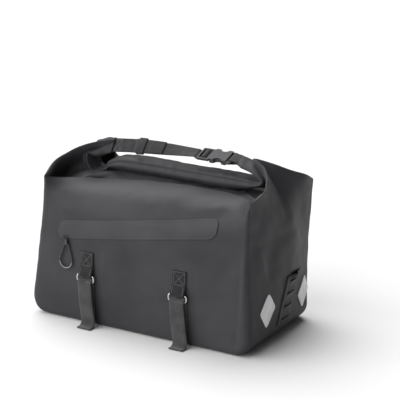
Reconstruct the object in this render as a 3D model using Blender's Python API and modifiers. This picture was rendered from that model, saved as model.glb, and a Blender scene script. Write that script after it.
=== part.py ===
"""Roll-top rear-rack bag: welded shell, rolled mouth with buckled ears, zip flap, rail straps, reflectors.

Metres, +Z up. X runs along the bag, the front panel faces -Y, and the flat base stands on Z = 0.
"""
import math

import bmesh
import bpy
from mathutils import Matrix, Vector
from mathutils.bvhtree import BVHTree

# Body
HALF_LENGTH = 0.200
HALF_DEPTH = 0.121
CORNER_HEIGHT = 0.234
WALL = 0.002
BASE_END_RADIUS = 0.035
BASE_EDGE_RADIUS = 0.010
FRONT_BULGE = 0.008
END_BULGE = 0.013
CORNER_RADIUS = 0.012
BACK_CORNER_RADIUS = 0.030

# Mouth
APEX_RISE = 0.055
MOUTH_HALF_LENGTH = 0.112
MOUTH_HALF_GAP = 0.005
LIP_DEPTH = 0.009

# Rolled mouth and its ears
ROLL_HALF_WIDTH = 0.023
ROLL_HALF_THICKNESS = 0.0135

# Webbing, buckle and handle
WEBBING_WIDTH = 0.025
WEBBING_THICKNESS = 0.0016
HANDLE_RISE = 0.049
HANDLE_LEFT_TILT = 55.0
HANDLE_RIGHT_TILT = 18.0
BUCKLE_CENTRE = 0.0685
BUCKLE_LENGTH = 0.062
BUCKLE_WIDTH = 0.033
BUCKLE_THICKNESS = 0.008
FRAME_LENGTH = 0.022
FRAME_THICKNESS = 0.004
FRAME_BAR = 0.003
SLOT = 0.006
TAIL_START = -0.082
TAIL_END = -0.028
KEEPER_CENTRE = -0.070
KEEPER_WIDTH = 0.014

# Zip flap and pull
FLAP_LEFT = -0.152
FLAP_RIGHT = 0.133
FLAP_HEIGHT = 0.031
FLAP_RISE = 0.177
FLAP_SLOPE = 0.170
FLAP_THICKNESS = 0.0014
SLIDER_LENGTH = 0.009
SLIDER_WIDTH = 0.004
SLIDER_WALL = 0.0009
PULL_LENGTH = 0.043
PULL_WIDTH = 0.0245
PULL_CORD = 0.0020

# Rail straps
STRAP_LEFT = -0.094
STRAP_RIGHT = 0.075
ANCHOR_TOP = 0.124
RING_HEIGHT = 0.080
RING_WIRE = 0.0032
RING_WIDTH = 0.031
RING_DROP = 0.010
HOOK_THICKNESS = 0.0022
FREE_END = 0.086
STRAP_LEAN = 0.010
HOOK_SHIFT = 0.004
HOOK_ROOT = 0.012

# Reflectors and light loops
REFLECTOR_HEIGHT = 0.058
REFLECTOR_WIDTH = 0.052
REFLECTOR_THICKNESS = 0.0008
REFLECTOR_FRONT = 0.064
REFLECTOR_BACK = 0.078
REFLECTOR_RISE = 0.062
LOOP_WIDTH = 0.062
LOOP_HEIGHT = 0.082
LOOP_THICKNESS = 0.0014
LOOP_RISE = 0.063
LOOP_OFFSET = 0.012
LOOP_LEAN = 0.38
SLIT_COUNT = 4
SLIT_GAP = 0.0022
SLIT_WIDTH = 0.034
SLIT_PITCH = 0.020

# Fits
SEAT = 0.0004
TOUCH = 0.0003
PATCH_GAP = 0.0009

# Walls above the base edge. Columns: height share of CORNER_HEIGHT, half-length share of HALF_LENGTH,
# half-depth share of HALF_DEPTH, share of FRONT_BULGE, share of END_BULGE, share of the back corners'
# extra radius.
WALL_SECTIONS = (
    (0.00, 1.000, 1.000, 0.00, 0.00, 1.00),
    (0.15, 0.990, 1.000, 0.35, 0.25, 1.00),
    (0.32, 0.974, 1.000, 0.75, 0.60, 0.75),
    (0.50, 0.955, 0.998, 1.00, 0.90, 0.50),
    (0.66, 0.938, 0.993, 0.90, 1.00, 0.30),
    (0.76, 0.928, 0.988, 0.70, 0.95, 0.15),
)

# Front and back edge of the folded top, left to right. Columns: share of HALF_LENGTH, share of HALF_DEPTH,
# share of CORNER_HEIGHT.
FRONT_EDGE = (
    (-0.915, 0.945, 0.985),
    (-0.775, 0.660, 0.979),
    (-0.645, 0.455, 0.974),
    (-0.335, 0.330, 0.987),
    (0.120, 0.330, 1.017),
    (0.460, 0.330, 1.019),
    (0.660, 0.400, 1.019),
    (0.780, 0.580, 1.038),
    (0.860, 0.780, 1.060),
    (0.915, 0.945, 1.043),
)
BACK_EDGE = (
    (-0.915, 0.945, 0.993),
    (-0.645, 0.455, 0.985),
    (-0.335, 0.330, 0.990),
    (0.460, 0.330, 1.010),
    (0.645, 0.455, 1.005),
    (0.915, 0.945, 1.023),
)

# Rim of the right end, front to back over the apex; the left end takes the back half of it for both of its
# halves. Columns: share of HALF_DEPTH, share of HALF_LENGTH, share of APEX_RISE.
END_RIM = (
    (-0.94, 0.918, 0.18),
    (-0.66, 0.945, 0.36),
    (-0.38, 0.900, 0.60),
    (-0.14, 0.800, 0.86),
    (0.00, 0.680, 1.00),
    (0.14, 0.800, 0.86),
    (0.38, 0.900, 0.60),
    (0.66, 0.945, 0.36),
    (0.94, 0.918, 0.10),
)
LEFT_RIM_LOWER = 0.007

# Handle strap between the ears. Columns: X, share of HANDLE_RISE, share of the way from the left tilt to
# the right one.
HANDLE_LINE = (
    (-0.1235, 0.802, 0.00),
    (-0.0800, 0.898, 0.05),
    (-0.0300, 0.955, 0.40),
    (0.0200, 0.995, 0.90),
    (0.0370, 1.005, 1.00),
    (0.1130, 1.005, 1.00),
)

# Soft dents. Columns: side, place along (share of the half-length or half-depth), place up (share of
# CORNER_HEIGHT), half-width, half-height, turn in degrees, depth. A negative depth is a swelling.
DENTS = (
    ("front", 0.72, 0.52, 0.030, 0.060, 28.0, 0.0040),
    ("front", 0.66, 0.93, 0.060, 0.010, 14.0, 0.0035),
    ("front", -0.40, 0.98, 0.022, 0.016, 0.0, 0.0030),
    ("front", -0.05, 0.75, 0.110, 0.035, 0.0, -0.0020),
    ("right", -0.45, 0.62, 0.020, 0.060, -24.0, 0.0040),
    ("right", 0.25, 0.70, 0.030, 0.060, 20.0, -0.0030),
)

# Half-counts that set the grid of the shell
LONG_STEPS = 15
SHORT_STEPS = 10
CORNER_STEPS = 3

# The roll from the middle of the bag round to the tip of each ear. Columns: share of MOUTH_HALF_LENGTH
# along X, share of HANDLE_RISE above the corner height, half-width share, half-thickness share.
RIGHT_EAR = (
    (0.00, 0.30, 1.00, 1.00),
    (0.45, 0.30, 1.00, 1.00),
    (0.85, 0.31, 1.02, 0.96),
    (1.13, 0.34, 1.02, 0.70),
    (1.27, 0.40, 0.98, 0.46),
    (1.33, 0.51, 0.90, 0.38),
    (1.26, 0.69, 0.82, 0.36),
    (1.13, 0.87, 0.72, 0.33),
    (0.99, 0.985, 0.60, 0.28),
)
LEFT_EAR = (
    (0.00, 0.30, 1.00, 1.00),
    (0.45, 0.30, 1.00, 1.00),
    (0.85, 0.295, 1.02, 0.90),
    (1.10, 0.285, 1.02, 0.62),
    (1.245, 0.29, 0.98, 0.42),
    (1.33, 0.385, 0.92, 0.34),
    (1.29, 0.53, 0.86, 0.33),
    (1.21, 0.675, 0.76, 0.31),
    (1.10, 0.80, 0.60, 0.28),
)

# Levels of the shell's grid: over the rounded base edge, over the shoulder, and from the rim to the lip
LEVEL_SHARES = (0.0, 0.04, 0.12, 0.28, 0.55, 1.0)
UPPER_SHARES = (0.20, 0.40, 0.58, 0.74, 0.88)
INNER_SHARES = (0.14, 0.32, 0.50, 0.68, 0.84, 1.0)
CLEAR_OF_ROUNDING = 1.3
BASE_INSET = 0.84
FOLD = 3.0 * WALL
POCKET_DROP = 1.03
POCKET_REACH = 0.70
SHOULDER = 1.30

# The mouth's lip carries the roll
LIP_HEIGHT = CORNER_HEIGHT + HANDLE_RISE * RIGHT_EAR[0][1] - ROLL_HALF_THICKNESS - TOUCH
ROLL_SIDES = 16
ROLL_SQUARENESS = 0.85
FLAP_STEPS = 13
FLAP_ROWS = 6

NEIGHBOURS = {
    "front_right": ("front", "right"),
    "back_right": ("right", "back"),
    "back_left": ("back", "left"),
    "front_left": ("left", "front"),
}
OUTWARD = {
    "front": Vector((0, -1, 0)),
    "right": Vector((1, 0, 0)),
    "back": Vector((0, 1, 0)),
    "left": Vector((-1, 0, 0)),
}

COLOURS = {
    "fabric": ((0.075, 0.076, 0.082), 0.62, 0.0),
    "webbing": ((0.050, 0.050, 0.053), 0.85, 0.0),
    "hook": ((0.040, 0.042, 0.042), 0.95, 0.0),
    "plastic": ((0.30, 0.30, 0.32), 0.45, 0.0),
    "metal": ((0.45, 0.45, 0.46), 0.35, 1.0),
    "reflector": ((0.62, 0.62, 0.64), 0.35, 0.0),
    "cord": ((0.030, 0.030, 0.032), 0.60, 0.0),
}


def clear_scene():
    for item in list(bpy.data.objects):
        bpy.data.objects.remove(item, do_unlink=True)


def new_collection(name):
    made = bpy.data.collections.new(name)
    bpy.context.scene.collection.children.link(made)
    return made


def material(name, part_name):
    colour, roughness, metallic = COLOURS[name]
    made = bpy.data.materials.new(f"{part_name}_{name}")
    made.use_nodes = True
    shader = made.node_tree.nodes["Principled BSDF"]
    shader.inputs["Base Color"].default_value = (*colour, 1.0)
    shader.inputs["Roughness"].default_value = roughness
    shader.inputs["Metallic"].default_value = metallic
    return made


def new_part(name, mesh, finish, smooth=35.0):
    made = bpy.data.objects.new(name, mesh)
    PARTS.objects.link(made)
    made.data.materials.append(material(finish, name))
    mesh.shade_smooth()
    mesh.set_sharp_from_angle(angle=math.radians(smooth))
    return made


def new_cutter(name, mesh):
    made = bpy.data.objects.new(name, mesh)
    CUTTERS.objects.link(made)
    made.hide_render = True
    made.display_type = "WIRE"
    return made


def table_value(rows, at, column):
    """A smooth curve through a column's values, over the rows' first column, with no overshoot."""
    keys = [row[0] for row in rows]
    values = [row[column] for row in rows]
    if keys[0] > keys[-1]:
        keys.reverse()
        values.reverse()
    at = min(max(at, keys[0]), keys[-1])
    low = max(i for i in range(len(keys) - 1) if keys[i] <= at)
    steps = [(values[i + 1] - values[i]) / (keys[i + 1] - keys[i]) for i in range(len(keys) - 1)]
    slopes = [steps[0]]
    for before, after in zip(steps, steps[1:]):
        slopes.append(2 * before * after / (before + after) if before * after > 0 else 0.0)
    slopes.append(steps[-1])
    span = keys[low + 1] - keys[low]
    t = (at - keys[low]) / span
    return (
        (2 * t**3 - 3 * t**2 + 1) * values[low]
        + (t**3 - 2 * t**2 + t) * span * slopes[low]
        + (3 * t**2 - 2 * t**3) * values[low + 1]
        + (t**3 - t**2) * span * slopes[low + 1]
    )


def stations():
    """Places round the bag, seen from above and counter-clockwise: a side's name and how far along it."""
    sides = (
        ("front", LONG_STEPS),
        ("front_right", CORNER_STEPS),
        ("right", SHORT_STEPS),
        ("back_right", CORNER_STEPS),
        ("back", LONG_STEPS),
        ("back_left", CORNER_STEPS),
        ("left", SHORT_STEPS),
        ("front_left", CORNER_STEPS),
    )
    return [(side, step / steps) for side, steps in sides for step in range(steps)]


def rounding(radius, height):
    """How far a rounded bottom edge has drawn in at a height."""
    if height >= radius:
        return 0.0
    return radius - math.sqrt(radius**2 - (radius - height) ** 2)


def wall_point(side, along, height):
    share = height / CORNER_HEIGHT
    half_x = HALF_LENGTH * table_value(WALL_SECTIONS, share, 1) - rounding(BASE_END_RADIUS, height)
    half_y = HALF_DEPTH * table_value(WALL_SECTIONS, share, 2) - rounding(BASE_EDGE_RADIUS, height)
    front_bulge = FRONT_BULGE * table_value(WALL_SECTIONS, share, 3)
    end_bulge = END_BULGE * table_value(WALL_SECTIONS, share, 4)
    extra = (BACK_CORNER_RADIUS - CORNER_RADIUS) * table_value(WALL_SECTIONS, share, 5)
    near = CORNER_RADIUS
    far = CORNER_RADIUS + extra
    swing = math.cos(math.pi * (along - 0.5))
    if side == "front":
        return Vector(((2 * along - 1) * (half_x - near), -half_y - front_bulge * swing, height))
    if side == "back":
        return Vector(((1 - 2 * along) * (half_x - far), half_y + front_bulge * swing, height))
    if side in ("right", "left"):
        run = along if side == "right" else 1 - along
        across = -(half_y - near) + run * (2 * half_y - near - far)
        out = half_x + end_bulge * swing
        return Vector((out if side == "right" else -out, across, height))
    first = {"front_right": -90.0, "back_right": 0.0, "back_left": 90.0, "front_left": 180.0}[side]
    angle = math.radians(first + 90.0 * along)
    radius = near if side.startswith("front") else far
    centre_x = (half_x - radius) * (1 if side.endswith("right") else -1)
    centre_y = (half_y - radius) * (-1 if side.startswith("front") else 1)
    return Vector((centre_x + radius * math.cos(angle), centre_y + radius * math.sin(angle), height))


def rim_point(side, along):
    """The folded top edge, which lies in beside the roll and rises to an apex over each end."""
    if side in ("front", "back"):
        rows = FRONT_EDGE if side == "front" else BACK_EDGE
        way = 1 if side == "front" else -1
        share = rows[-1][0] * (2 * along - 1) * way
        depth = -way * HALF_DEPTH * table_value(rows, share, 1)
        return Vector((share * HALF_LENGTH, depth, CORNER_HEIGHT * table_value(rows, share, 2)))
    if side in ("right", "left"):
        way = 1 if side == "right" else -1
        place = END_RIM[-1][0] * (2 * along - 1) * way
        share = place if side == "right" else abs(place)
        out = way * HALF_LENGTH * table_value(END_RIM, share, 1)
        top = CORNER_HEIGHT + APEX_RISE * table_value(END_RIM, share, 2)
        if side == "left":
            top -= LEFT_RIM_LOWER
        return Vector((out, place * HALF_DEPTH, top))
    before, after = NEIGHBOURS[side]
    return rim_point(before, 1.0).lerp(rim_point(after, 0.0), along)


def mouth_point(side, along, height):
    """The lip of the mouth slot, whose two round ends take the stations of the ends and corners."""
    if side in ("front", "back"):
        way = 1 if side == "front" else -1
        return Vector((way * (2 * along - 1) * MOUTH_HALF_LENGTH, -way * MOUTH_HALF_GAP, height))
    order = ("front_right", "right", "back_right", "back_left", "left", "front_left")
    steps = (CORNER_STEPS, SHORT_STEPS, CORNER_STEPS) * 2
    place = order.index(side)
    half = 3 * (place // 3)
    done = sum(steps[half:place]) + along * steps[place]
    angle = math.radians(-90.0 + 180.0 * done / sum(steps[half:half + 3]) + 180.0 * (place // 3))
    way = 1 if place < 3 else -1
    x = way * MOUTH_HALF_LENGTH + MOUTH_HALF_GAP * math.cos(angle)
    return Vector((x, MOUTH_HALF_GAP * math.sin(angle), height))


def pocket_share(side, along):
    """How far the inner side of the rim turns back under itself: fully over the ends, hardly in front."""
    if side in ("right", "left"):
        return 1.0 - 0.35 * abs(2 * along - 1) ** 2
    if side in ("front", "back"):
        return 0.25 * abs(2 * along - 1) ** 8
    run = along if side in ("front_right", "back_left") else 1 - along
    return 0.25 + 0.40 * run


def fullness(side, along):
    """How far the shoulder stands out before it bends inwards: most in front and behind."""
    if side in ("front", "back"):
        return SHOULDER
    if side in ("right", "left"):
        return 1.0
    run = along if side in ("front_right", "back_left") else 1 - along
    return SHOULDER + (1.0 - SHOULDER) * run


def hermite(start, end, leave, arrive, t):
    return (
        start * (2 * t**3 - 3 * t**2 + 1)
        + leave * (t**3 - 2 * t**2 + t)
        + end * (3 * t**2 - 2 * t**3)
        + arrive * (t**3 - t**2)
    )


def bezier(points, t):
    a, b, c, d = points
    return a * (1 - t) ** 3 + b * 3 * t * (1 - t) ** 2 + c * 3 * t**2 * (1 - t) + d * t**3


def dent_depth(side, point):
    """How far the soft dents push a point of the wall inwards."""
    total = 0.0
    for name, along, up, wide, high, turn, depth in DENTS:
        if name != side:
            continue
        run = point.x - along * HALF_LENGTH if side in ("front", "back") else point.y - along * HALF_DEPTH
        rise = point.z - up * CORNER_HEIGHT
        c = math.cos(math.radians(turn))
        s = math.sin(math.radians(turn))
        away = ((run * c + rise * s) / wide) ** 2 + ((rise * c - run * s) / high) ** 2
        total += depth * math.exp(-away)
    return total


def station_path(side, along):
    """One strip of the shell, from the base's edge up the wall, over the rim and down into the mouth."""
    top_wall = WALL_SECTIONS[-1][0] * CORNER_HEIGHT
    lowest = CLEAR_OF_ROUNDING * BASE_END_RADIUS
    heights = [share * BASE_END_RADIUS for share in LEVEL_SHARES]
    heights += [row[0] * CORNER_HEIGHT for row in WALL_SECTIONS if row[0] * CORNER_HEIGHT > lowest]
    path = [wall_point(side, along, height) for height in heights]
    start = wall_point(side, along, top_wall)
    rim = rim_point(side, along)
    leave = Vector((0.0, 0.0, (rim - start).length * fullness(side, along)))
    arrive = (rim - start) * 2 - leave * 0.9
    path += [hermite(start, rim, leave, arrive, share) for share in UPPER_SHARES]
    path.append(rim)
    if side in OUTWARD:
        fade = min(1.0, 8 * min(along, 1 - along))
        path = [point - OUTWARD[side] * (fade * dent_depth(side, point)) for point in path]
        rim = path[-1]
    towards = mouth_point(side, along, 0.0) - Vector((rim.x, rim.y, 0.0))
    towards.normalize()
    climb = arrive.normalized()
    level = math.hypot(climb.x, climb.y)
    back = towards * climb.z - Vector((0, 0, level))
    rising = towards * level + Vector((0, 0, climb.z))
    path.append(rim + (back + rising) * (FOLD / 2))
    turned = rim + back * FOLD
    path.append(turned)
    pocket = pocket_share(side, along)
    lip = mouth_point(side, along, LIP_HEIGHT)
    reach = (lip - turned).length
    under = turned - rising * (POCKET_DROP * reach)
    level_out = turned + towards * (0.25 * reach) - Vector((0, 0, 0.05 * reach))
    first = level_out.lerp(under, pocket)
    second = lip - towards * ((0.45 + POCKET_REACH * pocket) * reach) - Vector((0, 0, WALL * pocket))
    path += [bezier((turned, first, second, lip), share) for share in INNER_SHARES]
    path.append(lip - Vector((0, 0, LIP_DEPTH)))
    return path


def shell_surface():
    """The outer skin as one sheet: a loft over the stations, closed under the base, open at the mouth."""
    places = stations()
    paths = [station_path(side, along) for side, along in places]
    count = len(places)
    rings = len(paths[0])
    points = [paths[s][r] for r in range(rings) for s in range(count)]
    faces = []
    for r in range(rings - 1):
        for s in range(count):
            t = (s + 1) % count
            faces.append((r * count + s, r * count + t, (r + 1) * count + t, (r + 1) * count + s))
    corners = [places.index((side, 0.0)) for side in ("front", "right", "back", "left")]
    inner = [BASE_INSET * paths[s][0] for s in corners]
    first = len(points)
    points += inner
    faces.append((first, first + 3, first + 2, first + 1))
    for k in range(4):
        low = corners[k]
        high = corners[(k + 1) % 4] if k < 3 else count
        nearest = first + k
        following = first + (k + 1) % 4
        middle = (low + high) // 2
        faces += [(nearest, (s + 1) % count, s) for s in range(low, middle)]
        faces.append((nearest, following, middle % count))
        faces += [(following, (s + 1) % count, s) for s in range(middle, high)]
    mesh = bpy.data.meshes.new("shell")
    mesh.from_pydata([tuple(p) for p in points], [], faces)
    mesh.validate()
    return mesh


def solidify(item, thickness, offset, even=False):
    made = item.modifiers.new("thickness", "SOLIDIFY")
    made.thickness = thickness
    made.offset = offset
    made.use_even_offset = even
    made.use_rim = True
    return made


def cut(item, cutter):
    made = item.modifiers.new(f"cut_{cutter.name}", "BOOLEAN")
    made.operation = "DIFFERENCE"
    made.solver = "EXACT"
    made.object = cutter


def grid_mesh(name, rows):
    """A sheet from rows of points, whose collapsed ends are merged."""
    mesh = bpy.data.meshes.new(name)
    count = len(rows[0])
    points = [tuple(p) for row in rows for p in row]
    faces = []
    for r in range(len(rows) - 1):
        for c in range(count - 1):
            faces.append((r * count + c, r * count + c + 1, (r + 1) * count + c + 1, (r + 1) * count + c))
    mesh.from_pydata(points, [], faces)
    work = bmesh.new()
    work.from_mesh(mesh)
    bmesh.ops.remove_doubles(work, verts=work.verts, dist=0.00002)
    bmesh.ops.dissolve_degenerate(work, edges=work.edges, dist=0.00001)
    work.to_mesh(mesh)
    work.free()
    return mesh


def on_wall(side, along, up, lift):
    """The point of the shell's skin seen from outside at a place on a side, lifted off it."""
    outward = OUTWARD[side]
    origin = Vector((along, 0, up)) if side in ("front", "back") else Vector((0, along, up))
    hit, normal, _, _ = SKIN.ray_cast(origin + outward, -outward)
    if hit is None:
        raise ValueError(f"no wall at {side} {along:.3f} {up:.3f}")
    return hit + normal * lift


def draped(name, side, columns, rows, thickness, finish, lean=0.0):
    """A thin patch on a wall. Each column is its place along at Z = 0, its low and its high height."""
    sheet = []
    for r in range(rows + 1):
        line = []
        for along, low, high in columns:
            height = low + (high - low) * r / rows
            line.append(on_wall(side, along + lean * height, height, PATCH_GAP + thickness))
        sheet.append(line)
    if side in ("back", "left"):
        sheet = [list(reversed(line)) for line in sheet]
    made = new_part(name, grid_mesh(name, sheet), finish)
    solidify(made, thickness, -1.0)
    return made


def ribbon(name, centres, across, width, thickness, finish, strands=1):
    """A strap that follows its centre points, its width along the given directions."""
    sheet = []
    for k in range(strands + 1):
        share = (k / strands - 0.5) * width
        sheet.append([centre + direction * share for centre, direction in zip(centres, across)])
    made = new_part(name, grid_mesh(name, sheet), finish)
    solidify(made, thickness, 0.0, even=True)
    return made


def plate(name, outline, thickness):
    """A flat outline with thickness, as a mesh centred on its own plane."""
    curve = bpy.data.curves.new(name, "CURVE")
    curve.dimensions = "2D"
    curve.fill_mode = "BOTH"
    curve.extrude = thickness / 2
    spline = curve.splines.new("POLY")
    spline.points.add(len(outline) - 1)
    for point, (x, y) in zip(spline.points, outline):
        point.co = (x, y, 0.0, 1.0)
    spline.use_cyclic_u = True
    return mesh_of_curve(name, curve)


def tube(name, points, radius, closed):
    """A round cord or wire through the points, as a mesh."""
    curve = bpy.data.curves.new(name, "CURVE")
    curve.dimensions = "3D"
    curve.bevel_depth = radius
    curve.bevel_resolution = 2
    curve.use_fill_caps = not closed
    spline = curve.splines.new("POLY")
    spline.points.add(len(points) - 1)
    for point, place in zip(spline.points, points):
        point.co = (*place, 1.0)
    spline.use_cyclic_u = closed
    return mesh_of_curve(name, curve)


def mesh_of_curve(name, curve):
    guide = bpy.data.objects.new(f"{name}_guide", curve)
    bpy.context.scene.collection.objects.link(guide)
    bpy.context.view_layer.update()
    ready = guide.evaluated_get(bpy.context.evaluated_depsgraph_get())
    mesh = bpy.data.meshes.new_from_object(ready)
    bpy.data.objects.remove(guide, do_unlink=True)
    work = bmesh.new()
    work.from_mesh(mesh)
    bmesh.ops.remove_doubles(work, verts=work.verts, dist=0.000005)
    bmesh.ops.recalc_face_normals(work, faces=work.faces)
    work.to_mesh(mesh)
    work.free()
    mesh.name = name
    return mesh


def box_mesh(name, size, centre=(0, 0, 0)):
    mesh = bpy.data.meshes.new(name)
    work = bmesh.new()
    bmesh.ops.create_cube(work, size=1.0)
    bmesh.ops.scale(work, vec=size, verts=work.verts)
    bmesh.ops.translate(work, vec=centre, verts=work.verts)
    work.to_mesh(mesh)
    work.free()
    return mesh


def roll_row(reach, hand):
    """The roll's centre, half-width, half-thickness and ear share, at a place counted in rows of its end."""
    table = LEFT_EAR if hand < 0 else RIGHT_EAR
    rows = [(index, *row) for index, row in enumerate(table)]
    rise = table_value(rows, reach, 2)
    low = table[3][1]
    raised = max(0.0, (rise - low) / (table[-1][1] - low))
    height = CORNER_HEIGHT + HANDLE_RISE * rise
    wide = ROLL_HALF_WIDTH * table_value(rows, reach, 3)
    thick = ROLL_HALF_THICKNESS * table_value(rows, reach, 4)
    return Vector((hand * MOUTH_HALF_LENGTH * table_value(rows, reach, 1), 0.0, height)), wide, thick, raised


def build_roll():
    """The rolled mouth: a flattened roll whose two ends turn up and inward to the handle strap."""
    stops = [(k / 2, -1) for k in range(2 * len(LEFT_EAR) - 2, 0, -1)]
    stops += [(k / 2, 1) for k in range(2 * len(RIGHT_EAR) - 1)]
    rows = [roll_row(reach, hand) for reach, hand in stops]
    centres = [row[0] for row in rows]
    points = []
    for index, (centre, wide, thick, raised) in enumerate(rows):
        before = centres[max(index - 1, 0)]
        after = centres[min(index + 1, len(rows) - 1)]
        run = (after - before).normalized()
        if raised == 1.0:
            run = Vector((-1, 0, 0))
        tilt = math.radians(HANDLE_LEFT_TILT if stops[index][1] < 0 else HANDLE_RIGHT_TILT) * raised**2
        across = Matrix.Rotation(tilt, 4, "X") @ Vector((0, 1, 0))
        across = (across - run * across.dot(run)).normalized()
        normal = run.cross(across)
        for k in range(ROLL_SIDES):
            angle = 2 * math.pi * k / ROLL_SIDES
            c = math.cos(angle)
            s = math.sin(angle)
            side_part = math.copysign(abs(c) ** ROLL_SQUARENESS, c) * wide
            top_part = math.copysign(abs(s) ** ROLL_SQUARENESS, s) * thick
            points.append(centre + across * side_part + normal * top_part)
    faces = []
    for r in range(len(rows) - 1):
        for k in range(ROLL_SIDES):
            n = (k + 1) % ROLL_SIDES
            base = r * ROLL_SIDES
            faces.append((base + k, base + n, base + ROLL_SIDES + n, base + ROLL_SIDES + k))
    faces.append(tuple(reversed(range(ROLL_SIDES))))
    end = (len(rows) - 1) * ROLL_SIDES
    faces.append(tuple(range(end, end + ROLL_SIDES)))
    mesh = bpy.data.meshes.new("roll")
    mesh.from_pydata([tuple(p) for p in points], [], faces)
    work = bmesh.new()
    work.from_mesh(mesh)
    bmesh.ops.recalc_face_normals(work, faces=work.faces)
    work.to_mesh(mesh)
    work.free()
    return new_part("roll", mesh, "fabric", 50.0)


def handle_frame(x):
    """Centre, width direction and upper normal of the handle strap at a place along X."""
    rise = table_value(HANDLE_LINE, x, 1)
    turn = table_value(HANDLE_LINE, x, 2)
    tilt = math.radians(HANDLE_LEFT_TILT + (HANDLE_RIGHT_TILT - HANDLE_LEFT_TILT) * turn)
    across = Vector((0.0, math.cos(tilt), math.sin(tilt)))
    normal = Vector((0.0, -math.sin(tilt), math.cos(tilt)))
    return Vector((x, 0.0, CORNER_HEIGHT + HANDLE_RISE * rise)), across, normal


def handle_ribbon(name, places):
    """Handle webbing through places given as X and lift above the strap's own line."""
    centres = []
    across = []
    for x, lift in places:
        centre, wide, normal = handle_frame(x)
        centres.append(centre + normal * lift)
        across.append(wide)
    return ribbon(name, centres, across, WEBBING_WIDTH, WEBBING_THICKNESS, "webbing")


def handle_places(start, end):
    """Places along the handle, on steps that all its layers share."""
    step = KEEPER_WIDTH / 2
    first = math.ceil((start - KEEPER_CENTRE) / step + 0.2)
    last = math.floor((end - KEEPER_CENTRE) / step - 0.2)
    return [start] + [KEEPER_CENTRE + step * k for k in range(first, last + 1)] + [end]


def build_handle():
    left_tip = roll_row(len(LEFT_EAR) - 1, -1)[0].x
    right_tip = roll_row(len(RIGHT_EAR) - 1, 1)[0].x
    frame_left = BUCKLE_CENTRE - BUCKLE_LENGTH / 2
    under = FRAME_THICKNESS / 2 + TOUCH + WEBBING_THICKNESS / 2
    middle = frame_left + FRAME_BAR + SLOT + FRAME_BAR / 2
    slot_two = middle + FRAME_BAR / 2 + SLOT / 2
    places = [(x, 0.0) for x in handle_places(left_tip + TOUCH, frame_left - SLOT)]
    places += [(frame_left - FRAME_BAR / 2, -under), (frame_left + FRAME_BAR + TOUCH, -under)]
    places += [(middle - FRAME_BAR / 2 - TOUCH, under), (middle + FRAME_BAR / 2 + TOUCH, under)]
    places += [(slot_two + SLOT / 4, -WEBBING_THICKNESS)]
    handle_ribbon("handle_strap_long", places)

    layer = WEBBING_THICKNESS + 1.5 * TOUCH
    handle_ribbon("handle_strap_tail", [(x, layer) for x in handle_places(TAIL_START, TAIL_END)])

    bar = BUCKLE_CENTRE + BUCKLE_LENGTH / 2 - FRAME_BAR / 2
    hook = FRAME_THICKNESS / 2 + TOUCH + WEBBING_THICKNESS / 2
    inner = FRAME_BAR / 2 + SLOT / 2
    near = WEBBING_THICKNESS / 2 + TOUCH / 2
    end = right_tip - TOUCH
    upper = [(end, near), (bar + 1.6 * FRAME_BAR, near + 0.5 * hook), (bar, hook)]
    upper += [(bar - 0.5 * inner, hook), (bar - 0.9 * inner, 0.55 * hook)]
    places = upper + [(bar - inner, 0.0)] + [(x, -lift) for x, lift in reversed(upper)]
    handle_ribbon("handle_strap_short", places)
    build_keeper(layer)


def build_keeper(layer):
    """A webbing loop round the strap and the tail that lies on it."""
    wall = WEBBING_THICKNESS * 0.75
    half_wide = WEBBING_WIDTH / 2 + 2 * TOUCH
    low = -WEBBING_THICKNESS / 2 - 2 * TOUCH
    high = layer + WEBBING_THICKNESS / 2 + 2 * TOUCH
    rings = []
    for x in (KEEPER_CENTRE - KEEPER_WIDTH / 2, KEEPER_CENTRE + KEEPER_WIDTH / 2):
        centre, across, normal = handle_frame(x)
        for grow in (0.0, wall):
            wide = half_wide + grow
            bottom = low - grow
            top = high + grow
            soft = grow * 0.6
            corners = ((-wide + soft, bottom), (wide - soft, bottom), (wide, bottom + soft))
            corners += ((wide, top - soft), (wide - soft, top), (-wide + soft, top))
            corners += ((-wide, top - soft), (-wide, bottom + soft))
            rings.append([centre + across * a + normal * b for a, b in corners])
    loop = (rings[0], rings[1], rings[3], rings[2])
    count = len(rings[0])
    faces = []
    for r in range(4):
        s = (r + 1) % 4
        for k in range(count):
            n = (k + 1) % count
            faces.append((r * count + k, r * count + n, s * count + n, s * count + k))
    mesh = bpy.data.meshes.new("strap_keeper")
    mesh.from_pydata([tuple(p) for ring in loop for p in ring], [], faces)
    work = bmesh.new()
    work.from_mesh(mesh)
    bmesh.ops.remove_doubles(work, verts=work.verts, dist=0.000005)
    bmesh.ops.recalc_face_normals(work, faces=work.faces)
    work.to_mesh(mesh)
    work.free()
    new_part("strap_keeper", mesh, "webbing")


def rounded_outline(low_x, high_x, half_y, radius, steps=3):
    outline = []
    corners = ((high_x - radius, half_y - radius, 0), (low_x + radius, half_y - radius, 90))
    corners += ((low_x + radius, radius - half_y, 180), (high_x - radius, radius - half_y, 270))
    for x, y, first in corners:
        for k in range(steps + 1):
            angle = math.radians(first + 90 * k / steps)
            outline.append((x + radius * math.cos(angle), y + radius * math.sin(angle)))
    return outline


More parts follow.
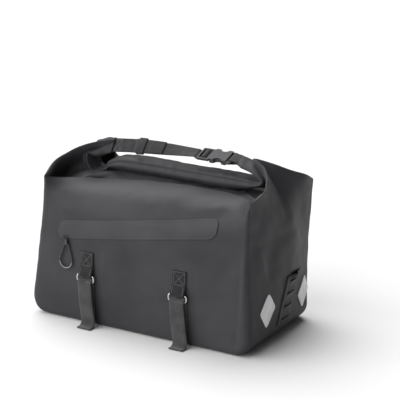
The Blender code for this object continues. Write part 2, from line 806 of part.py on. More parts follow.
def build_buckle():
    """Side-release buckle, fastened: the frame half with two slots, its arms inside the body half."""
    centre, across, normal = handle_frame(BUCKLE_CENTRE)
    place = Matrix((
        (1.0, across.x, normal.x, centre.x),
        (0.0, across.y, normal.y, centre.y),
        (0.0, across.z, normal.z, centre.z),
        (0.0, 0.0, 0.0, 1.0),
    ))
    left = -BUCKLE_LENGTH / 2
    right = BUCKLE_LENGTH / 2
    half = BUCKLE_WIDTH / 2
    frame_end = left + FRAME_LENGTH
    body_start = frame_end + TOUCH
    arm = BUCKLE_WIDTH * 0.09
    arm_out = half - BUCKLE_WIDTH * 0.10
    arm_end = body_start + BUCKLE_LENGTH * 0.37
    tongue = BUCKLE_WIDTH * 0.10
    tongue_end = body_start + BUCKLE_LENGTH * 0.24

    upper = [(frame_end, tongue), (tongue_end, tongue), (tongue_end, -tongue), (frame_end, -tongue)]
    barb = arm_out - 1.6 * arm
    nose = 0.002
    lower_arm = [(frame_end, -arm_out + arm), (arm_end, -barb), (arm_end, -arm_out), (frame_end, -arm_out)]
    corner = [(frame_end, -half), (left + nose, -half), (left, -half + nose)]
    corner += [(left, half - nose), (left + nose, half)]
    upper_arm = [(frame_end, half), (frame_end, arm_out), (arm_end, arm_out), (arm_end, barb)]
    outline = upper + lower_arm + corner + upper_arm + [(frame_end, arm_out - arm)]
    male = new_part("buckle_male", plate("buckle_male", outline, FRAME_THICKNESS), "plastic")
    male.matrix_world = place
    slot_half = WEBBING_WIDTH / 2 + 2 * TOUCH
    for index in range(2):
        slot_left = left + FRAME_BAR + index * (SLOT + FRAME_BAR)
        size = (SLOT, 2 * slot_half, 3 * FRAME_THICKNESS)
        slot = box_mesh("frame_slot", size, (slot_left + SLOT / 2, 0, 0))
        cutter = new_cutter(f"frame_slot_{index}", slot)
        cutter.matrix_world = place
        cut(male, cutter)

    body = plate("buckle_female", rounded_outline(body_start, right, half, 0.0035), BUCKLE_THICKNESS)
    female = new_part("buckle_female", body, "plastic")
    female.matrix_world = place
    cavity = FRAME_THICKNESS + 2 * TOUCH
    cavity_half = arm_out + 2 * TOUCH
    cavity_end = arm_end + 2 * TOUCH
    size = (2 * (cavity_end - body_start), 2 * cavity_half, cavity)
    cutters = [box_mesh("cavity", size, (body_start, 0, 0))]
    thin = (BUCKLE_THICKNESS - FRAME_THICKNESS) / 2
    bar_zone = FRAME_BAR + SLOT
    for way in (-1, 1):
        drop = way * (FRAME_THICKNESS / 2 + thin)
        cutters.append(box_mesh("thin_end", (2 * bar_zone, 2 * BUCKLE_WIDTH, 2 * thin), (right, 0, drop)))
    slot_centre = right - FRAME_BAR - SLOT / 2
    cutters.append(box_mesh("end_slot", (SLOT, 2 * slot_half, 2 * BUCKLE_THICKNESS), (slot_centre, 0, 0)))
    notch_centre = body_start + BUCKLE_LENGTH * 0.26
    notch_half = BUCKLE_LENGTH * 0.11
    notch_depth = BUCKLE_WIDTH * 0.17
    beyond = half + notch_depth
    for way in (-1, 1):
        notch = []
        for k in range(9):
            angle = math.pi * k / 8
            x = notch_centre + notch_half * math.cos(angle)
            notch.append((x, way * (half - notch_depth * math.sin(angle))))
        notch += [(notch[-1][0], way * beyond), (notch[0][0], way * beyond)]
        cutters.append(plate("notch", notch, 3 * BUCKLE_THICKNESS))
    for index, mesh in enumerate(cutters):
        cutter = new_cutter(f"body_cut_{index}", mesh)
        cutter.matrix_world = place
        cut(female, cutter)


def build_zip():
    """The slanted flap over the zip, the slider below its left end and the cord loop that hangs from it."""
    radius = FLAP_HEIGHT * 0.42
    nibble = [radius * share for share in (0.0, 0.15, 0.5, 1.0)]
    span = FLAP_RIGHT - FLAP_LEFT - 2 * radius
    runs = nibble + [radius + span * k / FLAP_STEPS for k in range(1, FLAP_STEPS)]
    runs += [FLAP_RIGHT - FLAP_LEFT - share for share in reversed(nibble)]
    columns = []
    for run in runs:
        end = min(run, FLAP_RIGHT - FLAP_LEFT - run, radius)
        half = FLAP_HEIGHT / 2 - radius + math.sqrt(max(radius**2 - (radius - end) ** 2, 0.0))
        x = FLAP_LEFT + run
        centre = FLAP_RISE + FLAP_SLOPE * x
        columns.append((x, centre - half, centre + half))
    draped("zip_flap", "front", columns, FLAP_ROWS, FLAP_THICKNESS, "fabric")

    x = FLAP_LEFT + 1.4 * radius
    top = FLAP_RISE + FLAP_SLOPE * (x - SLIDER_WIDTH / 2) - FLAP_HEIGHT / 2 - TOUCH
    seat = on_wall("front", x, top - SLIDER_LENGTH / 2, 0.0)
    hole_radius = 0.95 * PULL_CORD
    depth = 2 * (hole_radius + SLIDER_WALL)
    centre = (x, seat.y - SEAT - depth / 2, top - SLIDER_LENGTH / 2)
    block = box_mesh("zip_slider", (SLIDER_WIDTH, depth, SLIDER_LENGTH), centre)
    slider = new_part("zip_slider", block, "plastic")
    hole_height = top - SLIDER_LENGTH + hole_radius + SLIDER_WALL
    hole = bpy.data.meshes.new("slider_hole")
    work = bmesh.new()
    round_hole = {"segments": 12, "radius1": hole_radius, "radius2": hole_radius, "depth": 3 * SLIDER_WIDTH}
    bmesh.ops.create_cone(work, cap_ends=True, **round_hole)
    turn = Matrix.Translation((x, centre[1], hole_height)) @ Matrix.Rotation(math.pi / 2, 4, "Y")
    bmesh.ops.transform(work, matrix=turn, verts=work.verts)
    work.to_mesh(hole)
    work.free()
    cut(slider, new_cutter("slider_hole", hole))

    small = 0.17 * PULL_WIDTH
    large = PULL_WIDTH / 2
    upper = hole_height - small + PULL_CORD / 8
    lower = hole_height - PULL_LENGTH + large
    lean = math.asin((large - small) / (upper - lower))
    points = []
    for k in range(9):
        angle = lean + (math.pi - 2 * lean) * k / 8
        points.append((x + small * math.cos(angle), centre[1], upper + small * math.sin(angle)))
    for k in range(17):
        angle = math.pi - lean + (math.pi + 2 * lean) * k / 16
        points.append((x + large * math.cos(angle), centre[1], lower + large * math.sin(angle)))
    new_part("zip_pull", tube("zip_pull", points, PULL_CORD / 2, True), "cord", 60.0)


def build_rail_strap(label, side, x):
    """Webbing anchor, metal ring, and the hook-and-loop strap that goes through it and hangs down outside."""
    outward = OUTWARD[side]
    lean = STRAP_LEAN if side == "front" else -STRAP_LEAN
    wire = RING_WIRE / 2
    anchor_turn = wire + 2 * TOUCH + WEBBING_THICKNESS / 2
    hook_turn = wire + 2 * TOUCH + HOOK_THICKNESS / 2
    ring_lift = PATCH_GAP + HOOK_THICKNESS / 2 + hook_turn
    top_bar = RING_HEIGHT + RING_DROP / 2
    low_bar = RING_HEIGHT - RING_DROP / 2
    ring_wall = on_wall(side, x, RING_HEIGHT, ring_lift)
    ring_out = ring_wall.dot(outward)
    reach = WEBBING_WIDTH / 2
    across = on_wall(side, x + reach, RING_HEIGHT, 0.0) - on_wall(side, x - reach, RING_HEIGHT, 0.0)
    across.normalize()

    def at(height, out, shift=0.0):
        return Vector((x, 0.0, height)) + outward * out + across * shift

    def lifted(height, lift, shift=0.0):
        return at(height, on_wall(side, x, height, 0.0).dot(outward) + lift, shift)

    seat = SEAT + WEBBING_THICKNESS / 2
    layer = WEBBING_THICKNESS + TOUCH
    back_end = top_bar + 1.5 * RING_DROP
    centres = [lifted(ANCHOR_TOP, seat), lifted(back_end + 2.2 * layer, seat)]
    centres.append(lifted(back_end - layer, seat + 1.5 * layer))
    for k in range(7):
        angle = math.pi * k / 6
        height = top_bar - anchor_turn * math.sin(angle)
        centres.append(at(height, ring_out + anchor_turn * math.cos(angle)))
    centres.append(lifted(back_end, seat))
    ribbon(f"anchor_{label}", centres, [across] * len(centres), WEBBING_WIDTH, WEBBING_THICKNESS, "webbing")

    outline = rounded_outline(-RING_WIDTH / 2, RING_WIDTH / 2, RING_DROP / 2, 0.3 * RING_DROP)
    points = [at(RING_HEIGHT + b, ring_out, a) for a, b in outline]
    new_part(f"ring_{label}", tube(f"ring_{label}", points, wire, True), "metal", 60.0)

    seat = PATCH_GAP + HOOK_THICKNESS / 2
    shift = HOOK_SHIFT if side == "front" else -HOOK_SHIFT
    centres = [lifted(HOOK_ROOT, seat, shift), lifted((HOOK_ROOT + low_bar) / 2, seat, shift * 0.8)]
    for k in range(7):
        angle = math.pi - math.pi * k / 6
        height = low_bar + hook_turn * math.sin(angle)
        centres.append(at(height, ring_out + hook_turn * math.cos(angle), shift * (0.5 - k / 12)))
    floor = HOOK_THICKNESS / 2 + TOUCH
    hang = ring_out + hook_turn
    bend = 4 * HOOK_THICKNESS
    straight = low_bar - bend - floor
    for k in range(1, 4):
        centres.append(at(low_bar - straight * k / 3, hang, lean * k / 3))
    for k in range(1, 5):
        angle = math.radians(90.0 * k / 4)
        height = floor + bend * (1 - math.sin(angle))
        centres.append(at(height, hang + bend * (1 - math.cos(angle)), lean))
    rest = FREE_END - straight - bend * math.pi / 2
    centres.append(at(floor, hang + bend + rest, lean))
    ribbon(f"rail_strap_{label}", centres, [across] * len(centres), WEBBING_WIDTH, HOOK_THICKNESS, "hook")


def build_reflector(label, side, along):
    columns = []
    for share in (-1.0, -0.5, 0.0, 0.5, 1.0):
        half = REFLECTOR_HEIGHT / 2 * (1 - abs(share))
        columns.append((along + share * REFLECTOR_WIDTH / 2, REFLECTOR_RISE - half, REFLECTOR_RISE + half))
    draped(f"reflector_{label}", side, columns, 2, REFLECTOR_THICKNESS, "reflector")


def build_light_loop(label, side):
    """A welded patch with slits across it, for clipping on a lamp."""
    columns = []
    for k in range(5):
        along = LOOP_OFFSET - LOOP_LEAN * LOOP_RISE + LOOP_WIDTH * (k / 4 - 0.5)
        columns.append((along, LOOP_RISE - LOOP_HEIGHT / 2, LOOP_RISE + LOOP_HEIGHT / 2))
    patch = draped(f"light_loop_{label}", side, columns, 6, LOOP_THICKNESS, "fabric", LOOP_LEAN)
    for index in range(SLIT_COUNT):
        height = LOOP_RISE + SLIT_PITCH * (index - (SLIT_COUNT - 1) / 2)
        wall = on_wall(side, LOOP_OFFSET + LOOP_LEAN * (height - LOOP_RISE), height, 0.0)
        size = (0.4 * HALF_LENGTH, SLIT_WIDTH, SLIT_GAP)
        cutter = new_cutter(f"slit_{label}_{index}", box_mesh("slit", size, wall))
        cut(patch, cutter)


clear_scene()
PARTS = new_collection("rear_rack_bag")
CUTTERS = new_collection("cutters")

skin = shell_surface()
SKIN = BVHTree.FromPolygons([v.co for v in skin.vertices], [tuple(p.vertices) for p in skin.polygons])
solidify(new_part("shell", skin, "fabric", 60.0), WALL, -1.0)
build_roll()
build_handle()
build_buckle()
build_zip()
for strap_side in ("front", "back"):
    build_rail_strap(f"{strap_side}_left", strap_side, STRAP_LEFT)
    build_rail_strap(f"{strap_side}_right", strap_side, STRAP_RIGHT)
for end_side in ("right", "left"):
    build_reflector(f"{end_side}_front", end_side, -REFLECTOR_FRONT)
    build_reflector(f"{end_side}_back", end_side, REFLECTOR_BACK)
    build_light_loop(end_side, end_side)
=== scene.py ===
import math

import bmesh
import bpy
import numpy as np
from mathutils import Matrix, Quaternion, Vector
from mathutils.bvhtree import BVHTree


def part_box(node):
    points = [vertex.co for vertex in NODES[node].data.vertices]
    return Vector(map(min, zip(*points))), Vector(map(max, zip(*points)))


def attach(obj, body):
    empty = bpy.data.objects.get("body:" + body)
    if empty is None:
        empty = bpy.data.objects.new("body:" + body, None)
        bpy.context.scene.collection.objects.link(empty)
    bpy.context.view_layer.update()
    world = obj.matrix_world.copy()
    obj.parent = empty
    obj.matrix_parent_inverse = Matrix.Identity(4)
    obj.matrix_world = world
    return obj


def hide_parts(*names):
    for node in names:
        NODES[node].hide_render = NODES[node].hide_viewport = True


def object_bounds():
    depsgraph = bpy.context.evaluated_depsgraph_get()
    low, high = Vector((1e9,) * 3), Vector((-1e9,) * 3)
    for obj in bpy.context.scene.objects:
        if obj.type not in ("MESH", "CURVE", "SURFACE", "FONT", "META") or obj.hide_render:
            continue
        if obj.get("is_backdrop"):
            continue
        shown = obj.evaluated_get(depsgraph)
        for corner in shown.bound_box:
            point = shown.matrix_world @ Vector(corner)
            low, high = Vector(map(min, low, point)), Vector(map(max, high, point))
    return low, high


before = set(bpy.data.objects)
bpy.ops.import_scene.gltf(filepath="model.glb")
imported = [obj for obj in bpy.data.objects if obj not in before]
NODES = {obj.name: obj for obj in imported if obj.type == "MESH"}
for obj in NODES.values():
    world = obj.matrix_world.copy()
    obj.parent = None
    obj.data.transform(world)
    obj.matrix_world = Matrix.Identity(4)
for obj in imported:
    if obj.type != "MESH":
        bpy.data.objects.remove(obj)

CAD_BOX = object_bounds()

# Sizes in metres: the part's, a few of them fitted closer to the photograph
HALF_LENGTH = 0.200
HALF_DEPTH = 0.121
CORNER_HEIGHT = 0.234
BASE_END_RADIUS = 0.029
BASE_EDGE_RADIUS = 0.010
FRONT_BULGE = 0.008
END_BULGE = 0.013
CORNER_RADIUS = 0.012
BACK_CORNER_RADIUS = 0.018
APEX_RISE = 0.055
MOUTH_HALF_LENGTH = 0.112
MOUTH_HALF_GAP = 0.005
LIP_DEPTH = 0.009
ROLL_HALF_WIDTH = 0.023
ROLL_HALF_THICKNESS = 0.0135
WEBBING_WIDTH = 0.025
WEBBING_THICK = 0.0016
HANDLE_RISE = 0.049
HANDLE_LEFT_TILT = 55.0
HANDLE_RIGHT_TILT = 18.0
BUCKLE_CENTRE = 0.0685
BUCKLE_LENGTH = 0.062
FRAME_THICKNESS = 0.004
FRAME_BAR = 0.003
SLOT = 0.006
TAIL_START = -0.082
TAIL_END = -0.028
KEEPER_CENTRE = -0.070
KEEPER_WIDTH = 0.014
FLAP_LEFT = -0.152
FLAP_RIGHT = 0.133
FLAP_HEIGHT = 0.031
FLAP_RISE = 0.177
FLAP_SLOPE = 0.170
STRAP_LEFT = -0.094
STRAP_RIGHT = 0.075
ANCHOR_TOP = 0.124
RING_HEIGHT = 0.080
RING_WIRE = 0.0032
RING_DROP = 0.010
HOOK_THICKNESS = 0.0022
FREE_END = 0.086
STRAP_LEAN = 0.010
HOOK_SHIFT = 0.004
HOOK_ROOT = 0.012
REFLECTOR_HEIGHT = 0.0568
REFLECTOR_WIDTH = 0.0508
REFLECTOR_LEAN = 0.12
LOOP_WIDTH = 0.056
LOOP_HEIGHT = 0.077
LOOP_RISE = 0.0655
LOOP_OFFSET = 0.016
LOOP_LEAN = 0.38
LOOP_GAPE = 0.0055
SLIT_COUNT = 4
SLIT_WIDTH = 0.031
SLIT_PITCH = 0.020
GARAGE_CENTRE = -0.1375
GARAGE_HALF = 0.0075
GARAGE_DEPTH = 0.0055
PULL_RADIUS = 0.0013
TOUCH = 0.0003
PATCH_GAP = 0.0009
SEAT = 0.0004
FOLD = 0.006
POCKET_DROP = 1.03
POCKET_REACH = 0.70
TOP_OF_WALL = 0.76
SHOULDER = 1.30
LEFT_RIM_LOWER = 0.007
LEFT_APEX_INSET = 0.05
HEM_GROWTH = 0.7
HEM_INSET = 0.010
LEFT_END_STRETCH = 0.0045
BACK_SWELL_X = 0.0050
BACK_SWELL_Y = 0.0060
SEAM_WIDTH = 0.0022
ROLL_SQUARENESS = 0.85
STITCH_LENGTH = 0.0028
STITCH_GAP = 0.0010
STITCH_HALF_WIDTH = 0.00050
STITCH_RISE = 0.00035
STITCH_INSET = 0.003
LIP_HEIGHT = CORNER_HEIGHT + 0.30 * HANDLE_RISE - ROLL_HALF_THICKNESS - TOUCH

# Columns: height share, half-length share, half-depth share, front bulge share, end bulge share, share of
# the back corners' extra radius
WALL_SECTIONS = (
    (0.00, 1.000, 1.000, 0.00, 0.00, 1.00),
    (0.15, 0.990, 1.000, 0.35, 0.25, 1.00),
    (0.32, 0.974, 1.000, 0.75, 0.60, 0.75),
    (0.50, 0.955, 0.998, 1.00, 0.90, 0.50),
    (0.66, 0.938, 0.993, 0.90, 1.00, 0.30),
    (0.76, 0.928, 0.988, 0.70, 0.95, 0.15),
)
# Columns: share of half-length, share of half-depth, share of the corner height
FRONT_EDGE = (
    (-0.915, 0.945, 0.985),
    (-0.775, 0.660, 0.977),
    (-0.645, 0.455, 0.970),
    (-0.335, 0.330, 0.984),
    (0.120, 0.330, 1.016),
    (0.460, 0.330, 1.019),
    (0.660, 0.400, 1.019),
    (0.780, 0.580, 1.038),
    (0.860, 0.780, 1.060),
    (0.915, 0.945, 1.043),
)
BACK_EDGE = (
    (-0.915, 0.945, 0.993),
    (-0.645, 0.455, 0.985),
    (-0.335, 0.330, 0.990),
    (0.460, 0.330, 1.010),
    (0.645, 0.455, 1.005),
    (0.915, 0.945, 1.023),
)
# Columns: share of half-depth, share of half-length, share of the apex rise
END_RIM = (
    (-0.94, 0.918, 0.18),
    (-0.66, 0.945, 0.36),
    (-0.38, 0.900, 0.60),
    (-0.14, 0.800, 0.86),
    (0.00, 0.680, 1.00),
    (0.14, 0.800, 0.86),
    (0.38, 0.900, 0.60),
    (0.66, 0.945, 0.36),
    (0.94, 0.918, 0.10),
)
# Columns: X, share of the handle's rise, share of the way from the left tilt to the right one
HANDLE_LINE = (
    (-0.1235, 0.802, 0.00),
    (-0.0800, 0.898, 0.05),
    (-0.0300, 0.955, 0.40),
    (0.0200, 0.995, 0.90),
    (0.0370, 1.005, 1.00),
    (0.1130, 1.005, 1.00),
)
# Columns: row, share of the mouth's half-length, share of the handle's rise, half-width, half-thickness
RIGHT_EAR = (
    (0, 0.00, 0.30, 1.00, 1.00),
    (1, 0.45, 0.30, 1.00, 1.00),
    (2, 0.85, 0.31, 1.02, 0.96),
    (3, 1.17, 0.33, 1.02, 0.76),
    (4, 1.34, 0.38, 1.00, 0.50),
    (5, 1.41, 0.49, 0.92, 0.38),
    (6, 1.33, 0.69, 0.84, 0.34),
    (7, 1.15, 0.88, 0.74, 0.31),
    (8, 0.99, 0.985, 0.60, 0.28),
)
LEFT_EAR = (
    (0, 0.00, 0.30, 1.00, 1.00),
    (1, 0.45, 0.30, 1.00, 1.00),
    (2, 0.85, 0.28, 1.02, 0.92),
    (3, 1.04, 0.20, 1.00, 0.62),
    (4, 1.18, 0.00, 0.98, 0.36),
    (5, 1.30, -0.08, 0.92, 0.26),
    (6, 1.46, 0.34, 0.80, 0.40),
    (7, 1.30, 0.66, 0.80, 0.50),
    (8, 1.10, 0.80, 0.60, 0.28),
)
# Columns: turn round the roll in degrees, reach in degrees, depth
ROLL_GROOVES = ((163, 15, 0.0032), (222, 8, 0.0016), (352, 12, 0.0026))
# Columns: side, place along, height, half-width, half-height, turn in degrees, depth
DENTS = (
    ("front", 0.172, 0.158, 0.016, 0.042, -30.0, 0.0060),
    ("front", 0.132, 0.218, 0.060, 0.010, 14.0, 0.0035),
    ("front", -0.080, 0.229, 0.022, 0.016, 0.0, 0.0030),
    ("front", -0.010, 0.176, 0.110, 0.035, 0.0, -0.0020),
    ("right", -0.054, 0.145, 0.020, 0.060, -24.0, 0.0028),
    ("right", 0.030, 0.164, 0.030, 0.060, 20.0, -0.0030),
    ("front", -0.150, 0.060, 0.030, 0.040, -20.0, 0.0016),
    ("front", 0.020, 0.060, 0.050, 0.030, 10.0, 0.0014),
    ("front", -0.046, 0.236, 0.010, 0.007, 20.0, 0.0016),
    ("right", 0.060, 0.210, 0.018, 0.030, -30.0, 0.0012),
    ("right", -0.090, 0.200, 0.012, 0.040, -18.0, 0.0012),
)
# Folds: side, points along and up, how far the ridge stands out, reach below it, reach above it
CREASES = (
    ("front", ((0.112, 0.226), (0.142, 0.240), (0.169, 0.247), (0.190, 0.250)), 0.0022, 0.014, 0.0035),
    ("front", ((0.120, 0.196), (0.150, 0.214), (0.178, 0.222)), 0.0010, 0.016, 0.006),
    ("right", ((-0.100, 0.205), (-0.080, 0.150), (-0.060, 0.105)), 0.0016, 0.012, 0.008),
)
# Welded seams of the front: place along, lowest and highest point, height of the step
SEAMS = (
    (-0.067, 0.004, 0.133, 0.0006),
    (0.104, 0.004, 0.134, 0.0006),
    (0.179, 0.012, 0.236, 0.0011),
)
# Zip flap: distance in from the edge, height off the wall
FLAP_SECTION = (
    (0.0, 0.0002), (0.0002, 0.0011), (0.0008, 0.0015), (0.0017, 0.0016), (0.0025, 0.0016), (0.0030, 0.0014),
    (0.0036, 0.0016), (0.0046, 0.0017), (0.0066, 0.0018), (0.0095, 0.0019), (0.0125, 0.0019),
)
# Reflector: distance in from the edge, height off the wall
FILM_SECTION = (
    (0.0, 0.0004), (0.0002, 0.0015), (0.0008, 0.0018), (0.0016, 0.0018), (0.0022, 0.0015), (0.0030, 0.0017),
    (0.008, 0.0018), (0.014, 0.0018), (0.019, 0.0018),
)
# Reflectors: name, place along the end, height
REFLECTORS = (("front", -0.062, 0.064), ("back", 0.084, 0.057))
# The shell's sides in order, and how many columns each has
SIDES = ("front", "front_right", "right", "back_right", "back", "back_left", "left", "front_left")
SIDE_STEPS = (132, 8, 76, 8, 90, 8, 56, 8)
# An end between its two corners: start and length on its half of the mouth's loop, in sixteenths
MOUTH_TURNS = ((0, 3), (3, 10), (13, 3))
OUTWARD = {
    "front": Vector((0, -1, 0)),
    "right": Vector((1, 0, 0)),
    "back": Vector((0, 1, 0)),
    "left": Vector((-1, 0, 0)),
}
UP = np.array((0.0, 0.0, 1.0))


# Curves through tables

def smooth(rows, column):
    """A smooth curve through a column's values over the rows' first column, with no overshoot."""
    x = np.array([row[0] for row in rows], float)
    y = np.array([row[column] for row in rows], float)
    step = np.diff(y) / np.diff(x)
    product = step[:-1] * step[1:]
    total = np.where(product > 0, step[:-1] + step[1:], 1.0)
    inner = np.where(product > 0, 2 * product / total, 0.0)
    slope = np.concatenate([step[:1], inner, step[-1:]])

    def at(value):
        value = np.clip(value, x[0], x[-1])
        low = np.clip(np.searchsorted(x, value, side="right") - 1, 0, len(x) - 2)
        span = x[low + 1] - x[low]
        t = (value - x[low]) / span
        mix = 3 * t**2 - 2 * t**3
        bend = (t**3 - 2 * t**2 + t) * span * slope[low] + (t**3 - t**2) * span * slope[low + 1]
        return (1 - mix) * y[low] + mix * y[low + 1] + bend

    return at


WALL_X, WALL_Y, WALL_FRONT, WALL_END, WALL_EXTRA = [smooth(WALL_SECTIONS, k) for k in range(1, 6)]
EDGES = {
    "front": (FRONT_EDGE, smooth(FRONT_EDGE, 1), smooth(FRONT_EDGE, 2)),
    "back": (BACK_EDGE, smooth(BACK_EDGE, 1), smooth(BACK_EDGE, 2)),
}
RIM_X, RIM_Z = smooth(END_RIM, 1), smooth(END_RIM, 2)
HANDLE_Z, HANDLE_TURN = smooth(HANDLE_LINE, 1), smooth(HANDLE_LINE, 2)
EARS = {1: [smooth(RIGHT_EAR, k) for k in range(1, 5)], -1: [smooth(LEFT_EAR, k) for k in range(1, 5)]}


def unit(v):
    v = np.asarray(v, float)
    return v / np.maximum(np.linalg.norm(v, axis=-1, keepdims=True), 1e-12)


def ease(low, high, value):
    t = np.clip((value - low) / (high - low), 0.0, 1.0)
    return t * t * (3 - 2 * t)


def circle(turn):
    """The cosine and sine of a turn in degrees."""
    return math.cos(math.radians(turn)), math.sin(math.radians(turn))


def waves(seed, count, size):
    """A smooth random field with features of about that size, from -1 to 1."""
    draw = np.random.default_rng(seed)
    ways = unit(draw.normal(size=(count, 3))) * (2 * math.pi / size)
    ways *= draw.uniform(0.6, 1.5, size=(count, 1))
    phase = draw.uniform(0, 2 * math.pi, size=count)

    def at(points):
        return np.sin(np.asarray(points) @ ways.T + phase).sum(axis=-1) / math.sqrt(count * 2)

    return at


def run_of(p):
    """How far along a line each of its points is."""
    return np.concatenate([[0], np.cumsum(np.linalg.norm(np.diff(p, axis=0), axis=1))])


def between(want, keys, p):
    """The rows of p at the wanted places, where keys are the places of its rows."""
    return np.stack([np.interp(want, keys, p[:, k]) for k in range(p.shape[1])], axis=-1)


def line_through(points, count):
    """Points evenly along a smooth curve through the given ones."""
    p = np.asarray(points, float)
    p = np.vstack([2 * p[0] - p[1], p, 2 * p[-1] - p[-2]])
    made = []
    for k in range(1, len(p) - 2):
        a, b, c, d = p[k - 1:k + 3]
        t = np.linspace(0, 1, 12, endpoint=k == len(p) - 3)[:, None]
        made.append(0.5 * (2 * b + (c - a) * t + (2 * a - 5 * b + 4 * c - d) * t**2
                           + (3 * b - a - 3 * c + d) * t**3))
    fine = np.vstack(made)
    run = run_of(fine)
    return between(np.linspace(0, run[-1], count), run, fine)


# Meshes

def add(name, data):
    made = bpy.data.objects.new(name, data)
    bpy.context.scene.collection.objects.link(made)
    return made


def make(name, points, faces, finishes, stands_for, marks=None, uv=None):
    """A piece of the bag from a grid of points, or from points with uv. marks hold each face's finish."""
    uv = flat_uv(points) if uv is None else uv
    points = np.reshape(points, (-1, 3))
    mesh = bpy.data.meshes.new(name)
    mesh.from_pydata([tuple(p) for p in points], [], [tuple(int(i) for i in f) for f in faces])
    for finish in finishes:
        mesh.materials.append(finish)
    if marks is not None:
        mesh.polygons.foreach_set("material_index", np.asarray(marks, np.int32))
    layer = mesh.uv_layers.new(name="flat")
    index = np.empty(len(mesh.loops), np.int32)
    mesh.loops.foreach_get("vertex_index", index)
    layer.data.foreach_set("uv", np.asarray(uv, np.float32)[index].ravel())
    mesh.shade_smooth()
    made = add(name, mesh)
    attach(made, "root")
    if stands_for:
        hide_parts(*stands_for)
    return made


def face_outwards(piece, outward=None):
    """Turns the faces of a closed piece outwards, or those of an open one towards the given side."""
    if outward is None:
        work = bmesh.new()
        work.from_mesh(piece.data)
        bmesh.ops.recalc_face_normals(work, faces=work.faces)
        work.to_mesh(piece.data)
        work.free()
    elif sum((Vector(f.normal) * f.area for f in piece.data.polygons), Vector()).dot(outward) < 0:
        piece.data.flip_normals()


def soften(item, width, segments, angle):
    soft = item.modifiers.new("soft_edges", "BEVEL")
    soft.width = width
    soft.segments = segments
    soft.limit_method = "ANGLE"
    soft.angle_limit = math.radians(angle)


def grid_faces(rows, columns, closed):
    r, c = np.meshgrid(np.arange(rows - 1), np.arange(columns if closed else columns - 1), indexing="ij")
    n = (c + 1) % columns
    quads = [r * columns + c, r * columns + n, (r + 1) * columns + n, (r + 1) * columns + c]
    return np.stack(quads, axis=-1).reshape(-1, 4)


def tube_faces(rows, columns):
    """The faces of a tube with flat ends."""
    end = (rows - 1) * columns
    return grid_faces(rows, columns, True).tolist() + [range(columns)[::-1], range(end, end + columns)]


def grid_normals(p):
    """The normals of a grid whose columns close into a ring."""
    across = np.roll(p, -1, axis=1) - np.roll(p, 1, axis=1)
    return unit(np.cross(across, np.gradient(p, axis=0)))


def flat_uv(p):
    """Metres along and up for each point of a grid."""
    steps = [np.linalg.norm(np.diff(p, axis=k), axis=2).mean(axis=1 - k) for k in (1, 0)]
    u, v = [np.concatenate([[0], np.cumsum(lengths)]) for lengths in steps]
    return np.stack(np.meshgrid(u, v), axis=-1).reshape(-1, 2)


def to_line(x, z, points):
    """Signed distance of places to a line of points, positive above it, and how far along it they are."""
    best = np.full(x.shape, 1e9)
    sign = np.ones(x.shape)
    place = np.zeros(x.shape)
    for k in range(len(points) - 1):
        ax, az = points[k]
        dx, dz = points[k + 1][0] - ax, points[k + 1][1] - az
        t = np.clip(((x - ax) * dx + (z - az) * dz) / (dx * dx + dz * dz), 0, 1)
        gap = np.hypot(x - ax - t * dx, z - az - t * dz)
        near = gap < best
        best = np.where(near, gap, best)
        sign = np.where(near, np.sign(dx * (z - az) - dz * (x - ax)) * np.sign(dx), sign)
        place = np.where(near, (k + t) / (len(points) - 1), place)
    return best * sign, place


# The shell

def rounding(radius, height):
    inside = np.clip(radius - height, 0.0, radius)
    return radius - np.sqrt(radius**2 - inside**2)


def wall_line(side, along, height):
    """The outer wall at one place along a side, from the base up."""
    share = height / CORNER_HEIGHT
    half_x = HALF_LENGTH * WALL_X(share) - rounding(BASE_END_RADIUS, height)
    half_y = HALF_DEPTH * WALL_Y(share) - rounding(BASE_EDGE_RADIUS, height)
    swing = math.cos(math.pi * (along - 0.5))
    front = FRONT_BULGE * WALL_FRONT(share) * swing
    end = END_BULGE * WALL_END(share) * swing
    near = CORNER_RADIUS
    far = CORNER_RADIUS + (BACK_CORNER_RADIUS - CORNER_RADIUS) * WALL_EXTRA(share)
    if side == "front":
        return np.stack([(2 * along - 1) * (half_x - near), -half_y - front, height], axis=1)
    if side == "back":
        return np.stack([(1 - 2 * along) * (half_x - far), half_y + front, height], axis=1)
    hand = 1 if side.endswith("right") else -1
    if side in ("right", "left"):
        run = along if side == "right" else 1 - along
        across = -(half_y - near) + run * (2 * half_y - near - far)
        return np.stack([hand * (half_x + end), across, height], axis=1)
    angle = math.radians(90.0 * (SIDES.index(side) // 2 - 1) + 90.0 * along)
    radius, way = (near, -1) if side.startswith("front") else (far, 1)
    x = (half_x - radius) * hand + radius * math.cos(angle)
    y = (half_y - radius) * way + radius * math.sin(angle)
    return np.stack([x, y, height], axis=1)


def rim_point(side, along):
    """The top of the fold that the panels turn over."""
    if side in ("front", "back"):
        rows, edge_y, edge_z = EDGES[side]
        run = along if side == "front" else 1 - along
        share = rows[0][0] + (rows[-1][0] - rows[0][0]) * run
        depth = HALF_DEPTH * edge_y(share) * (-1 if side == "front" else 1)
        return np.array((share * HALF_LENGTH, depth, CORNER_HEIGHT * edge_z(share)))
    if side in ("right", "left"):
        hand = 1 if side == "right" else -1
        share = END_RIM[-1][0] * (2 * along - 1) * hand
        row = share if side == "right" else abs(share)
        out, top = RIM_X(row), CORNER_HEIGHT + APEX_RISE * RIM_Z(row)
        if side == "left":
            out = out - LEFT_APEX_INSET * math.exp(-(share / 0.18) ** 2)
            top = top - LEFT_RIM_LOWER
        return np.array((hand * HALF_LENGTH * out, share * HALF_DEPTH, top))
    place = SIDES.index(side)
    start, end = rim_point(SIDES[place - 1], 1.0), rim_point(SIDES[(place + 1) % 8], 0.0)
    return start + (end - start) * along


